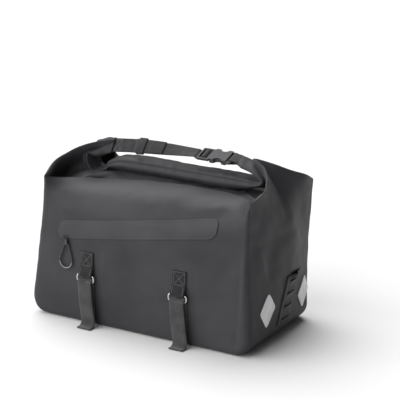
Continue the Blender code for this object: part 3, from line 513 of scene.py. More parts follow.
def mouth_point(side, along, height):
    if side in ("front", "back"):
        way = 1 if side == "front" else -1
        return np.array((way * (2 * along - 1) * MOUTH_HALF_LENGTH, -way * MOUTH_HALF_GAP, height))
    hand = 1 if side.endswith("right") else -1
    first, span = MOUTH_TURNS[SIDES.index(side) % 4 - 1]
    angle = math.radians(-90.0 * hand + 180.0 * (first + along * span) / 16)
    x = hand * MOUTH_HALF_LENGTH + MOUTH_HALF_GAP * math.cos(angle)
    return np.array((x, MOUTH_HALF_GAP * math.sin(angle), height))


def pocket_share(side, along):
    """How far the inner side drops under the rim: fully over the ends, hardly by the front right corner."""
    if side in ("right", "left"):
        share = 1.0 - 0.35 * abs(2 * along - 1) ** 2
        return max(0.08, share * float(ease(0.10, 0.42, along))) if side == "right" else share
    if side in ("front", "back"):
        return (0.08 if side == "front" and along > 0.5 else 0.25) * abs(2 * along - 1) ** 8
    if side == "front_right":
        return 0.08
    run = along if side == "back_left" else 1 - along
    return 0.25 + 0.40 * run


def hem(side, along):
    """How much thicker the rolled rim is over the left end than elsewhere, from 0 to 1."""
    return {"left": 1.0, "back_left": along, "front_left": 1 - along}.get(side, 0.0)


def fullness(side, along):
    """How far the shoulder stands out before it bends inwards: most in front and behind."""
    if side in ("front", "back"):
        return SHOULDER
    if side in ("right", "left"):
        return 1.0
    run = along if side in ("front_right", "back_left") else 1 - along
    return SHOULDER + (1.0 - SHOULDER) * run


def dents(side, points):
    total = np.zeros(len(points))
    for name, along, up, wide, high, turn, depth in DENTS:
        if name != side:
            continue
        run = points[:, 0 if side == "front" else 1] - along
        rise = points[:, 2] - up
        c, s = circle(turn)
        total += depth * np.exp(-((run * c + rise * s) / wide) ** 2 - ((rise * c - run * s) / high) ** 2)
    return total


BASE_LEVELS = BASE_END_RADIUS * np.linspace(0, 1, 15) ** 1.7
WALL_LEVELS = np.linspace(BASE_END_RADIUS, TOP_OF_WALL * CORNER_HEIGHT, 50)[1:]
LEVELS = np.concatenate([BASE_LEVELS, WALL_LEVELS])
UPPER = np.linspace(0, 1, 28)[1:]
ROUND = np.linspace(0, math.pi, 11)[1:]
INNER = np.linspace(0, 1, 34)[1:] ** 1.25
RIM_ROW = len(LEVELS) + len(UPPER) - 1


def station_path(side, along):
    """One column of the shell: up the wall, round the fold at its top and down to the mouth's lip."""
    wall = wall_line(side, along, LEVELS)
    start = wall[-1]
    rim = rim_point(side, along)
    leave = UP * (np.linalg.norm(rim - start) * fullness(side, along))
    arrive = (rim - start) * 2 - leave * 0.9
    t = UPPER[:, None]
    upper = start * (2 * t**3 - 3 * t**2 + 1) + leave * (t**3 - 2 * t**2 + t)
    upper += rim * (3 * t**2 - 2 * t**3) + arrive * (t**3 - t**2)
    outer = np.vstack([wall, upper])
    if side in OUTWARD:
        fade = min(1.0, 8 * min(along, 1 - along))
        outer -= np.array(OUTWARD[side]) * (fade * dents(side, outer))[:, None]
    rim = outer[-1]
    towards = mouth_point(side, along, 0.0) - rim
    towards[2] = 0
    towards = unit(towards)
    climb = unit(arrive)
    level = math.hypot(climb[0], climb[1])
    back = towards * climb[2] - UP * level
    rising = towards * level + UP * climb[2]
    turn = ROUND[:, None]
    thick = hem(side, along)
    half = FOLD / 2 * (1 + HEM_GROWTH * thick)
    fold = rim + back * half - back * np.cos(turn) * half + rising * np.sin(turn) * half
    turned = fold[-1]
    pocket = pocket_share(side, along)
    lip = mouth_point(side, along, LIP_HEIGHT)
    reach = np.linalg.norm(lip - turned)
    under = turned - rising * (POCKET_DROP * reach)
    level_out = turned + towards * (0.25 * reach) - UP * (0.05 * reach)
    first = level_out + (under - level_out) * pocket - towards * (HEM_INSET * thick)
    second = lip - towards * ((0.45 + POCKET_REACH * pocket) * reach) - UP * (0.002 * pocket)
    t = INNER[:, None]
    inner = turned * (1 - t) ** 3 + first * 3 * t * (1 - t) ** 2 + second * 3 * t**2 * (1 - t) + lip * t**3
    return np.vstack([outer, fold, inner, lip - UP * LIP_DEPTH])


def dress_shell(p):
    """Adds the folds, seams and slight unevenness of welded cloth to the plain loft."""
    p = p.copy()
    x, y, z = p[..., 0].copy(), p[..., 1].copy(), p[..., 2]
    p[..., 0] -= LEFT_END_STRETCH * ease(0.02, 0.19, -x)
    swell = ease(0.03, 0.12, y) * ease(0.08, 0.18, np.abs(x)) * ease(0.09, 0.20, z)
    p[..., 0] += BACK_SWELL_X * swell * np.sign(x)
    p[..., 1] += BACK_SWELL_Y * swell
    normal = grid_normals(p)
    rows = np.arange(p.shape[0])[:, None]
    outer = 1.0 - ease(RIM_ROW - 1, RIM_ROW + 2, rows)
    facing = {
        "front": (p[..., 0], np.clip(-normal[..., 1], 0, 1) * outer),
        "right": (p[..., 1], np.clip(normal[..., 0], 0, 1) * outer),
    }
    push = np.zeros(p.shape[:2])
    for side, points, height, below, above in CREASES:
        along, weight = facing[side]
        gap, place = to_line(along, z, points)
        fade = ease(0, 0.25, place) * (1 - 0.6 * ease(0.8, 1.0, place))
        push += height * np.exp(-(gap / np.where(gap < 0, below, above)) ** 2) * weight * fade
    for place, low, high, step in SEAMS:
        along, weight = facing["front"]
        gap = (along - place) / SEAM_WIDTH
        span = ease(low, low + 0.006, z) * (1 - ease(high - 0.006, high, z))
        push += step * np.tanh(gap) * np.exp(-(gap / 4) ** 2) * span * weight
    foot = ease(0.002, 0.030, z)
    push += (0.0009 * waves(3, 14, 0.085)(p) + 0.00035 * waves(4, 18, 0.034)(p)) * foot * outer
    hidden = ease(0.0, 0.012, np.linalg.norm(p - p[-2], axis=2)) * ease(RIM_ROW + 8, RIM_ROW + 16, rows)
    push += 0.0022 * waves(5, 16, 0.045)(p) * (1 - outer) * hidden
    return p + normal * push[..., None]


def build_shell():
    """The shell with its base closed. It returns its surface, which the other pieces are laid on."""
    columns = [station_path(side, k / count) for side, count in zip(SIDES, SIDE_STEPS) for k in range(count)]
    p = dress_shell(np.stack(columns, axis=1))
    count = len(columns)
    middle = len(p) * count
    points = np.vstack([p.reshape(-1, 3), [[0, 0, 0]]])
    faces = grid_faces(len(p), count, True).tolist()
    faces += [(middle, (s + 1) % count, s) for s in range(count)]
    uv = np.vstack([flat_uv(p), [[0, 0]]])
    make("bag_shell", points, faces, [FABRIC], ["shell"], uv=uv)
    return BVHTree.FromPolygons([Vector(q) for q in points], faces)


def on_wall(side, along, up, lift):
    outward = OUTWARD[side]
    origin = Vector((along, 0, up)) if side in ("front", "back") else Vector((0, along, up))
    hit, normal, _, _ = SKIN.ray_cast(origin + outward, -outward)
    return np.array(hit + normal * lift)


# The rolled mouth

def roll_frame(reach, hand):
    """The roll's centre, half-width and half-thickness at a row of an ear, and how far the ear has risen."""
    x, rise, wide, thick = [curve(reach) for curve in EARS[hand]]
    rows = RIGHT_EAR if hand > 0 else LEFT_EAR
    low, high = max(rows[0][2], rows[3][2]), rows[-1][2]
    raised = max(0.0, (rise - low) / (high - low))
    sway = -0.014 * math.exp(-((reach - 5.2) / 1.2) ** 2) if hand < 0 else 0.0
    centre = np.array((hand * MOUTH_HALF_LENGTH * x, sway, CORNER_HEIGHT + HANDLE_RISE * rise))
    return centre, ROLL_HALF_WIDTH * wide, ROLL_HALF_THICKNESS * thick, raised


def build_roll():
    steps, sides = 14, 72
    stops = [(8 - k / steps, -1) for k in range(8 * steps)] + [(k / steps, 1) for k in range(8 * steps + 1)]
    frames = [roll_frame(reach, hand) for reach, hand in stops]
    centres = np.array([f[0] for f in frames])
    angle = 2 * math.pi * np.arange(sides) / sides
    c, s = np.cos(angle), np.sin(angle)
    turn = np.degrees(angle)
    groove = sum(depth * np.exp(-((turn - at) / reach) ** 2) for at, reach, depth in ROLL_GROOVES)
    ways = unit(np.gradient(centres, axis=0))
    rows = []
    for (_, hand), way, (centre, wide, thick, raised) in zip(stops, ways, frames):
        blend = float(ease(0.93, 1.0, raised))
        way = unit(way * (1 - blend) - np.array((blend, 0, 0)))
        most, power = (HANDLE_RIGHT_TILT, 2) if hand > 0 else (HANDLE_LEFT_TILT, 0.9)
        across = np.array((0.0, *circle(most * raised**power)))
        across = unit(across - way * across.dot(way))
        a = np.copysign(np.abs(c) ** ROLL_SQUARENESS, c) * wide
        b = np.copysign(np.abs(s) ** ROLL_SQUARENESS, s) * thick
        level = 1 - float(ease(0.0, 0.35, raised))
        shrink = 1 - groove * level / np.maximum(np.hypot(a, b), 0.004)
        rows.append(centre + np.outer(a * shrink, across) + np.outer(b * shrink, np.cross(way, across)))
    p = np.array(rows)
    normal = grid_normals(p)
    if np.einsum("rci,rci->rc", normal, p - centres[:, None]).mean() < 0:
        normal = -normal
    inside = ease(0, 8, np.minimum(np.arange(len(p)), np.arange(len(p))[::-1]))[:, None]
    push = 0.0011 * waves(11, 12, 0.060)(p * np.array((0.45, 1, 1))) + 0.0005 * waves(12, 14, 0.022)(p)
    push += ease(0.110, 0.135, -p[..., 0]) * waves(13, 10, 0.028)(p) * 0.0013
    p = p + normal * (push * inside)[..., None]
    made = make("rolled_mouth", p, tube_faces(len(p), sides), [FABRIC], ["roll"])
    face_outwards(made)


# Straps

def strap(name, line, across, width, thickness, finish, stands_for, sewn=None):
    """A strap with soft edges along its middle line. across is its direction, one for all or each point."""
    line = np.asarray(line, float)
    run = unit(np.gradient(line, axis=0))
    wide = unit(np.broadcast_to(across, line.shape))
    wide = unit(wide - run * np.einsum("ij,ij->i", wide, run)[:, None])
    upper = np.cross(run, wide)
    half, thick = width / 2, thickness / 2
    right = [(0.2, 1.0), (0.6, 1.0), (0.93, 1.0), (0.985, 0.75)]
    top = [(-a, b) for a, b in reversed(right)] + right
    outline = [(-1.0, 0.0)] + top + [(1.0, 0.0)] + [(a, -b) for a, b in reversed(top)]
    grow = np.ones(len(line))
    grow[[0, -1]] = 0.2
    grow[[1, -2]] = 0.9
    lift = upper * (thick * grow)[:, None]
    p = np.stack([line + wide * (a * half) + lift * b for a, b in outline], axis=1)
    points = p.reshape(-1, 3)
    faces = tube_faces(len(line), len(outline))
    over = [a * half for a, _ in outline]
    uv = np.stack([np.repeat(run_of(line), len(outline)), np.tile(over, len(line))], axis=1)
    marks = [0] * len(faces)
    finishes = [finish]
    if sewn is not None:
        more, links = sewn(line, wide, upper)
        faces += [tuple(i + len(points) for i in f) for f in links]
        points = np.vstack([points, more])
        uv = np.vstack([uv, np.zeros((len(more), 2))])
        marks += [1] * len(links)
        finishes.append(THREAD)
    face_outwards(make(name, points, faces, finishes, stands_for, marks, uv))


def stitches(lines):
    """Small thread ends along lines on a surface, given as places and normals, as points and faces."""
    points, faces = [], []
    for places, normals in lines:
        run = run_of(places)
        start = 0.0
        while start + STITCH_LENGTH <= run[-1]:
            first, last = between(start, run, places), between(start + STITCH_LENGTH, run, places)
            up = unit(between(start, run, normals))
            side = np.cross(unit(last - first), up) * STITCH_HALF_WIDTH
            base = len(points)
            for share, rise in ((0.0, 0.0), (0.3, 1.0), (0.7, 1.0), (1.0, 0.0)):
                at = first + (last - first) * share
                low = up * (STITCH_RISE * rise * 0.5)
                points += [at - side + low, at + up * (STITCH_RISE * rise + 0.0001), at + side + low]
            for a in (base, base + 3, base + 6):
                faces += [(a, a + 3, a + 4, a + 1), (a + 1, a + 4, a + 5, a + 2)]
            start += STITCH_LENGTH + STITCH_GAP
    return np.array(points), faces


def sewing(spans, boxes, thickness, way=1):
    """Stitches near both edges over the given shares of a strap, and crossed boxes, for strap to lay."""
    lines = [(a, b, edge, edge) for a, b in spans for edge in (-1, 1)]
    for a, b in boxes:
        lines += [(a, b, -1, -1), (a, b, 1, 1), (a, a, -1, 1), (b, b, -1, 1), (a, b, -1, 1), (a, b, 1, -1)]

    def lay(line, wide, upper):
        keys = np.linspace(0, 1, len(line))
        made = []
        for a, b, first, last in lines:
            shares = np.linspace(a, b, 25)
            out = between(shares, keys, upper) * way
            over = between(shares, keys, wide) * np.linspace(first, last, 25)[:, None]
            over *= WEBBING_WIDTH / 2 - STITCH_INSET
            made.append((between(shares, keys, line) + over + out * (thickness / 2), out))
        return stitches(made)

    return lay


def handle_frame(x):
    """The top strap's middle at X, the way across it and the way off it."""
    c, s = circle(HANDLE_LEFT_TILT + (HANDLE_RIGHT_TILT - HANDLE_LEFT_TILT) * float(HANDLE_TURN(x)))
    centre = np.array((x, 0.0, CORNER_HEIGHT + HANDLE_RISE * float(HANDLE_Z(x))))
    return centre, np.array((0.0, c, s)), np.array((0.0, -s, c))


def handle_strap(name, places, stands_for, sewn=None, fine=0.0015):
    """A strap along the handle through places given as X and height off the handle's middle."""
    places = np.array(places)
    run = run_of(places)
    want = np.linspace(0, run[-1], max(int(run[-1] / fine), 12))
    line, wide = [], []
    for x, lift in between(want, run, places):
        centre, across, normal = handle_frame(x)
        line.append(centre + normal * lift)
        wide.append(across)
    strap(name, line, wide, WEBBING_WIDTH, WEBBING_THICK, HANDLE_WEBBING_LIT, stands_for, sewn)


def build_handle():
    left_tip = roll_frame(8, -1)[0][0]
    right_tip = roll_frame(8, 1)[0][0]
    frame_left = BUCKLE_CENTRE - BUCKLE_LENGTH / 2
    off_bar = FRAME_THICKNESS / 2 + TOUCH + WEBBING_THICK / 2
    middle = frame_left + FRAME_BAR + SLOT + FRAME_BAR / 2
    slot_two = middle + FRAME_BAR / 2 + SLOT / 2
    places = [(left_tip + TOUCH, 0.0), (frame_left - SLOT, 0.0), (frame_left - FRAME_BAR / 2, -off_bar)]
    places += [(frame_left + FRAME_BAR + TOUCH, -off_bar), (middle - FRAME_BAR / 2 - TOUCH, off_bar)]
    places += [(middle + FRAME_BAR / 2 + TOUCH, off_bar), (slot_two + SLOT / 4, -WEBBING_THICK)]
    sewn = sewing((), ((0.015, 0.075),), WEBBING_THICK)
    handle_strap("handle_webbing_long", places, ["handle_strap_long"], sewn)
    layer = WEBBING_THICK + 1.5 * TOUCH
    handle_strap("handle_webbing_tail", [(TAIL_START, layer), (TAIL_END, layer)], ["handle_strap_tail"])
    bar = BUCKLE_CENTRE + BUCKLE_LENGTH / 2 - FRAME_BAR / 2
    inner = FRAME_BAR / 2 + SLOT / 2
    near = WEBBING_THICK / 2 + TOUCH / 2
    upper = [(right_tip - TOUCH, near), (bar + 1.6 * FRAME_BAR, near + 0.5 * off_bar), (bar, off_bar)]
    upper += [(bar - 0.5 * inner, off_bar), (bar - 0.9 * inner, 0.55 * off_bar)]
    places = upper + [(bar - inner, 0.0)] + [(x, -lift) for x, lift in reversed(upper)]
    handle_strap("handle_webbing_short", places, ["handle_strap_short"], fine=0.0006)
    build_keeper(layer)


def build_keeper(layer):
    """The loop round the strap and its tail, which lies a layer above it."""
    wall = WEBBING_THICK * 0.75
    clear = WEBBING_THICK / 2 + 2 * TOUCH + wall / 2
    half = WEBBING_WIDTH / 2 + 2 * TOUCH + wall / 2
    outline = [(share * half, -clear) for share in (-1, -0.5, 0.5, 1)]
    outline += [(share * half, layer + clear) for share in (1, 0.5, -0.5, -1)]
    outline.append(outline[0])
    rings = []
    for x in np.linspace(KEEPER_CENTRE - KEEPER_WIDTH / 2, KEEPER_CENTRE + KEEPER_WIDTH / 2, 9):
        centre, across, normal = handle_frame(x)
        rings.append([centre + across * a + normal * b for a, b in outline])
    made = make("webbing_keeper", np.array(rings), grid_faces(9, 9, False), [HANDLE_WEBBING_LIT],
                ["strap_keeper"])
    solid = made.modifiers.new("thickness", "SOLIDIFY")
    solid.thickness = wall
    solid.offset = 0.0
    soften(made, 0.0004, 2, 30)


def build_rail_strap(label, side, x):
    """One sewn anchor, folded through its ring, and the hook-and-loop strap that hangs from the ring."""
    outward = np.array(OUTWARD[side])
    way = 1 if side == "front" else -1
    lean, shift = STRAP_LEAN * way, HOOK_SHIFT * way
    wire = RING_WIRE / 2
    anchor_turn = wire + 2 * TOUCH + WEBBING_THICK / 2
    hook_turn = wire + 2 * TOUCH + HOOK_THICKNESS / 2
    top_bar, low_bar = RING_HEIGHT + RING_DROP / 2, RING_HEIGHT - RING_DROP / 2
    low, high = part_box(f"ring_{label}")
    ring_out = abs(low[1] + high[1]) / 2
    reach = WEBBING_WIDTH / 2
    across = unit(on_wall(side, x + reach, RING_HEIGHT, 0.0) - on_wall(side, x - reach, RING_HEIGHT, 0.0))

    def at(height, out, shift=0.0):
        return np.array((x, 0.0, height)) + outward * out + across * shift

    def lifted(height, lift, shift=0.0):
        wall = max(on_wall(side, x + s * reach, height, 0.0).dot(outward) for s in (-1, 0, 1))
        return at(height, wall + lift, shift)

    seat = SEAT + WEBBING_THICK / 2
    layer = WEBBING_THICK + TOUCH
    back_end = top_bar + 1.5 * RING_DROP
    centres = [lifted(ANCHOR_TOP, seat), lifted((ANCHOR_TOP + back_end) / 2, seat)]
    centres += [lifted(back_end + 2.2 * layer, seat), lifted(back_end - layer, seat + 1.5 * layer)]
    for k in range(7):
        c, s = circle(30 * k)
        centres.append(at(top_bar - anchor_turn * s, ring_out + anchor_turn * c))
    centres.append(lifted(back_end, seat))
    sewn = sewing(((0.42, 0.60),), ((0.03, 0.36),), WEBBING_THICK, way)
    strap(f"anchor_webbing_{label}", line_through(centres, 90), across, WEBBING_WIDTH, WEBBING_THICK,
          WEBBING, [f"anchor_{label}"], sewn)

    seat = PATCH_GAP + HOOK_THICKNESS / 2
    centres = [lifted(HOOK_ROOT, seat, shift), lifted((HOOK_ROOT + low_bar) / 2, seat, shift * 0.8)]
    for k in range(7):
        c, s = circle(180 - 30 * k)
        centres.append(at(low_bar + hook_turn * s, ring_out + hook_turn * c, shift * (0.5 - k / 12)))
    floor = HOOK_THICKNESS / 2 + TOUCH
    hang = ring_out + hook_turn
    bend = 4 * HOOK_THICKNESS
    straight = low_bar - bend - floor
    for k in range(1, 6):
        bow = 0.0016 * math.sin(math.pi * k / 5)
        centres.append(at(low_bar - straight * k / 5, hang + bow, lean * k / 5))
    for k in range(1, 5):
        c, s = circle(22.5 * k)
        centres.append(at(floor + bend * (1 - s), hang + bend * (1 - c), lean))
    rest = FREE_END - straight - bend * math.pi / 2
    centres.append(at(floor, hang + bend + rest, lean))
    sewn = sewing(((0.46, 0.93),), ((0.945, 0.985),), HOOK_THICKNESS, -way)
    strap(f"hook_loop_strap_{label}", line_through(centres, 150), across, WEBBING_WIDTH, HOOK_THICKNESS,
          HOOK_LOOP, [f"rail_strap_{label}"], sewn)


# Patches on the walls

def build_flap():
    """The welded flap over the zip: a narrow lip all round, a groove inside it, and a soft middle."""
    full, half_b = FLAP_RIGHT - FLAP_LEFT, FLAP_HEIGHT / 2
    radius = FLAP_HEIGHT * 0.42
    insets, lifts = np.array(FLAP_SECTION).T
    run = np.concatenate([insets, np.linspace(0.016, full - 0.016, 130), full - insets[::-1]])
    shares = 1 - insets / half_b
    shares = np.concatenate([-shares, [0.0], shares[::-1]])
    rows = []
    for share in shares:
        row = []
        for along in run:
            end = min(along, full - along)
            half = half_b - radius + math.sqrt(max(radius**2 - (radius - min(end, radius)) ** 2, 0.0))
            x, up = FLAP_LEFT + along, share * half
            lift = float(np.interp(min(end, half - abs(up)), insets, lifts))
            row.append(on_wall("front", x, FLAP_RISE + FLAP_SLOPE * x + up, lift))
        rows.append(row)
    faces = grid_faces(len(shares), len(run), False)
    # The half-disc of faces at the zip garage, where the slider parks, gets painted shade: black for the
    # shade in the garage's opening.
    r, c = np.divmod(faces[:, 0], len(run))
    away = (FLAP_LEFT + run[c] - GARAGE_CENTRE) / GARAGE_HALF
    depth = (1 + shares[r]) * half_b / GARAGE_DEPTH
    made = make("zip_flap_panel", np.array(rows), faces, [FABRIC_FLAP, PAINTED_SHADE],
                ["zip_flap"], away**2 + depth**2 < 1)
    face_outwards(made, OUTWARD["front"])


def diamond(half_a, half_b, radius):
    """A rhombus with rounded tips as one loop of points."""
    tips = np.array([(half_a, 0), (0, half_b), (-half_a, 0), (0, -half_b)], float)
    loop = []
    for k, tip in enumerate(tips):
        after = tips[(k + 1) % 4]
        a, b = tip + unit(tips[k - 1] - tip) * radius, tip + unit(after - tip) * radius
        for t in np.linspace(0, 1, 10):
            loop.append(tuple(a * (1 - t) ** 2 + 2 * tip * t * (1 - t) + b * t**2))
        c = after + unit(tip - after) * radius
        loop += [tuple(b + (c - b) * n / 10) for n in range(1, 10)]
    return loop


def build_reflector(label, side, along, rise):
    """A leaning diamond of film, in rings from its edge to its middle."""
    loops, rings = [], []
    for inset, lift in FILM_SECTION:
        share = 1 - inset / 0.0205
        loop = diamond(REFLECTOR_WIDTH / 2 * share, REFLECTOR_HEIGHT / 2 * share, 0.0055 * max(share, 0.1))
        rings.append([on_wall(side, along + a + REFLECTOR_LEAN * b, rise + b, lift) for a, b in loop])
        loops += loop
    p = np.array(rings)
    count = p.shape[1]
    base, tip = (len(p) - 1) * count, len(p) * count
    points = np.vstack([p.reshape(-1, 3), [p[-1].mean(axis=0)]])
    faces = grid_faces(len(p), count, True).tolist()
    faces += [(base + k, base + (k + 1) % count, tip) for k in range(count)]
    made = make(f"reflector_film_{label}", points, faces, [REFLECTIVE],
                [f"reflector_{label}"], uv=loops + [(0.0, 0.0)])
    face_outwards(made, OUTWARD[side])


def build_light_loop(label, side):
    """A welded patch with slits. Its bands stand a little off the wall, and its top gapes, with painted
    shade in the slits and behind the gape.
    """
    way = 1 if side == "right" else -1
    high, low = LOOP_RISE + LOOP_HEIGHT / 2, LOOP_RISE - LOOP_HEIGHT / 2
    slits = [LOOP_RISE + SLIT_PITCH * (k - (SLIT_COUNT - 1) / 2) for k in range(SLIT_COUNT)]

    def off_slit(z):
        return min(abs(z - s) for s in slits)

    clear = [z for z in np.linspace(low, high, 58) if off_slit(z) > 0.0022]
    close = [s + d for s in slits for d in (-0.0020, -0.0013, -0.0009, 0.0009, 0.0013, 0.0020)]
    heights = sorted({round(float(z), 6) for z in clear + close})
    half, half_slit = LOOP_WIDTH / 2, SLIT_WIDTH / 2
    middle = np.linspace(-half + 0.0016, half - 0.0016, 49)
    ys = np.concatenate([[-half, -half + 0.0004], middle, [half - 0.0004, half]])
    rows = []
    for z in heights:
        lean = LOOP_OFFSET + LOOP_LEAN * (z - LOOP_RISE)
        off = off_slit(z)
        row = []
        for y in ys:
            inside = max(0.0, 1 - (abs(y) / half_slit) ** 6)
            lift = 0.0004 + 0.0019 * float(ease(0.0, 0.0010, min(half - abs(y), z - low, high - z)))
            lift += 0.0012 * math.exp(-((off - 0.0012) / 0.0045) ** 2) * inside
            if off < 0.00095 and abs(y) < half_slit:
                lift = -0.0002
            curve = 0.0030 * max(0.0, (y * way - 0.006) / 0.011) ** 2 if inside else 0.0
            curve *= math.exp(-(off / 0.005) ** 2)
            gape = LOOP_GAPE * math.exp(-(y / 0.010) ** 2) * float(ease(high - 0.016, high, z))
            row.append(on_wall(side, y + lean, z + min(curve, 0.0032), lift + gape))
        rows.append(row)
    # Rows that turn down behind the gaping top; they get painted shade (black).
    for down in (0.0015, 0.0060, 0.0080):
        depth = 0.0003 + (LOOP_GAPE - 0.0005) * np.exp(-(ys / 0.010) ** 2) * (1 - down / 0.008)
        rows.append([on_wall(side, y + lean, high - down, d) for y, d in zip(ys, depth)])
        heights.append(high + down)
    faces = grid_faces(len(heights), len(ys), False)
    # Faces in the slits and in the turned-down rows get painted shade: black for the shade behind them.
    painted_shade_faces = []
    for r, c in zip(*np.divmod(faces[:, 0], len(ys))):
        z, y = (heights[r] + heights[r + 1]) / 2, (ys[c] + ys[c + 1]) / 2
        painted_shade_faces.append(z > high or (off_slit(z) < 0.0012 and abs(y) < half_slit))
    made = make(f"light_loop_patch_{label}", np.array(rows), faces, [FABRIC, PAINTED_SHADE],
                [f"light_loop_{label}"], painted_shade_faces)
    face_outwards(made, OUTWARD[side])


def build_zip():
    """The zip pull: a drop-shaped loop of cord, with a thin light grey arc round its lower end, a painted
    highlight on the pull's glossy plastic lower half.
    """
    low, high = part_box("zip_pull")
    x, y = (low[0] + high[0]) / 2, (low[1] + high[1]) / 2
    small, large = 0.0042, (high[0] - low[0]) / 2 - PULL_RADIUS
    upper, lower = high[2] - PULL_RADIUS - small, low[2] + PULL_RADIUS + large
    lean = math.asin((large - small) / (upper - lower))

    def arc(radius, height, first, sweep, steps, out=0.0):
        angles = [first + sweep * k / steps for k in range(steps + 1)]
        return [(x + radius * math.cos(a), y - out, height + radius * math.sin(a)) for a in angles]

    loop = arc(small, upper, lean, math.pi - 2 * lean, 12)
    loop += arc(large, lower, math.pi - lean, math.pi + 2 * lean, 40)
    ring_tube("pull_loop_cord", loop, PULL_RADIUS, CORD, ["zip_pull"])
    # The arc's light grey is a painted highlight on the glossy plastic of the pull's lower half.
    sleeve = arc(large - 0.0006, lower, math.pi + 0.10, math.pi - 0.2, 24, 0.0006)
    ring_tube("pull_loop_sleeve_highlight", sleeve, PULL_RADIUS * 0.75, SLEEVE_GLINT, [], closed=False)


def ring_tube(name, points, radius, finish, stands_for, closed=True, sides=14):
    p = np.asarray(points, float)
    run = unit(np.roll(p, -1, axis=0) - np.roll(p, 1, axis=0) if closed else np.gradient(p, axis=0))
    side = np.array((0.0, 1.0, 0.0))
    side = unit(side - run * (run @ side)[:, None])
    upper = np.cross(run, side)
    angles = [2 * math.pi * k / sides for k in range(sides)]
    q = np.stack([p + (side * math.cos(a) + upper * math.sin(a)) * radius for a in angles], axis=1)
    faces = tube_faces(len(p), sides)
    if closed:
        base = (len(p) - 1) * sides
        faces[-2:] = [(base + k, base + (k + 1) % sides, (k + 1) % sides, k) for k in range(sides)]
    face_outwards(make(name, q, faces, [finish], stands_for))


# Materials

def shader(name, colour, roughness, **inputs):
    """A material, its nodes, its main shader and the places that textures follow."""
    made = bpy.data.materials.new(name)
    made.use_nodes = True
    face = made.node_tree.nodes["Principled BSDF"]
    face.inputs["Base Color"].default_value = (*colour, 1)
    face.inputs["Roughness"].default_value = roughness
    for key, value in inputs.items():
        face.inputs[key.replace("_", " ")].default_value = value
    return made, made.node_tree, face, node(made.node_tree, "ShaderNodeTexCoord").outputs


def node(tree, kind, **values):
    """A new node. A value is a setting, or another node's output for the input of that name."""
    made = tree.nodes.new(kind)
    for key, value in values.items():
        if isinstance(value, bpy.types.NodeSocket):
            tree.links.new(value, made.inputs[key])
        elif key in made.inputs:
            made.inputs[key].default_value = value
        else:
            setattr(made, key, value)
    return made


def ramp_between(tree, face, fac, low, high, first=0.0, last=1.0):
    """A base colour that goes from one tone to the other."""
    ramp = node(tree, "ShaderNodeValToRGB", Fac=fac)
    for element, position, colour in zip(ramp.color_ramp.elements, (first, last), (low, high)):
        element.position = position
        element.color = (*colour, 1)
    tree.links.new(ramp.outputs["Color"], face.inputs["Base Color"])


def noise(tree, place, **values):
    return node(tree, "ShaderNodeTexNoise", Vector=place, **values).outputs["Fac"]


def varied(tree, face, place, low, high, scale):
    """A base colour that wanders slowly between two tones."""
    cloud = noise(tree, place, Scale=scale, Detail=4.0, Roughness=0.55)
    ramp_between(tree, face, cloud, low, high, 0.36, 0.66)
    return cloud


def uneven_gloss(tree, face, fac, low, high):
    span = node(tree, "ShaderNodeMapRange", **{"Value": fac, "To Min": low, "To Max": high})
    tree.links.new(span.outputs["Result"], face.inputs["Roughness"])


def bump(tree, face, height, strength, distance, after=None):
    made = node(tree, "ShaderNodeBump", Strength=strength, Distance=distance, Height=height)
    if after is not None:
        tree.links.new(after.outputs["Normal"], made.inputs["Normal"])
    tree.links.new(made.outputs["Normal"], face.inputs["Normal"])
    return made


def ribs(tree, uv, operation, bands):
    """Two crossing sets of ribs. bands hold the scale and distortion of each."""
    both = node(tree, "ShaderNodeMath", operation=operation)
    for index, (scale, distortion) in enumerate(bands):
        wave = node(tree, "ShaderNodeTexWave", Vector=uv, Scale=scale, Distortion=distortion,
                    bands_direction="XY"[index])
        tree.links.new(wave.outputs["Fac"], both.inputs[index])
    return both.outputs["Value"]


def coated_fabric(name, low, high, roughness):
    made, tree, face, place = shader(name, high, roughness, Specular_IOR_Level=0.14, Sheen_Weight=0.05,
                                     Sheen_Roughness=0.45)
    cloud = varied(tree, face, place["Object"], low, high, 9.0)
    uneven_gloss(tree, face, cloud, roughness - 0.06, roughness + 0.08)
    weave = ribs(tree, place["UV"], "MULTIPLY", ((230.0, 0.6), (230.0, 0.6)))
    first = bump(tree, face, weave, 0.35, 0.00010)
    second = bump(tree, face, noise(tree, place["Object"], Scale=420.0, Detail=3.0), 0.30, 0.00025, first)
    bump(tree, face, noise(tree, place["Object"], Scale=38.0, Detail=3.0), 0.25, 0.0012, second)
    return made


def woven(name, low, high, roughness, rib, sheen):
    made, tree, face, place = shader(name, high, roughness, Specular_IOR_Level=0.14, Sheen_Weight=sheen,
                                     Sheen_Roughness=0.5)
    varied(tree, face, place["Object"], low, high, 60.0)
    weave = ribs(tree, place["UV"], "ADD", ((rib, 0.4), (rib * 0.8, 0.8)))
    first = bump(tree, face, weave, 0.6, 0.00025)
    bump(tree, face, noise(tree, place["Object"], Scale=900.0, Detail=4.0), 0.5, 0.0003, first)
    return made


def moulded(name, colour, roughness, grain=0.15, **inputs):
    made, tree, face, place = shader(name, colour, roughness, **inputs)
    varied(tree, face, place["Object"], tuple(0.88 * c for c in colour), colour, 70.0)
    bump(tree, face, noise(tree, place["Object"], Scale=1500.0, Detail=2.0), grain, 0.0001)
    return made


def reflective():
    made, tree, face, place = shader("reflective_film", (0.36, 0.36, 0.37), 0.38, Coat_Weight=0.25)
    cells = node(tree, "ShaderNodeTexVoronoi", Vector=place["Object"], Scale=520.0, Randomness=0.15)
    ramp_between(tree, face, cells.outputs["Distance"], (0.80, 0.80, 0.81), (0.56, 0.56, 0.57))
    bump(tree, face, cells.outputs["Distance"], 0.3, 0.0001)
    return made


def ring_metal():
    made, tree, face, place = shader("ring_steel", (0.52, 0.52, 0.53), 0.30, Metallic=1.0)
    rub = noise(tree, place["Object"], Scale=160.0, Detail=5.0)
    uneven_gloss(tree, face, rub, 0.22, 0.42)
    return made


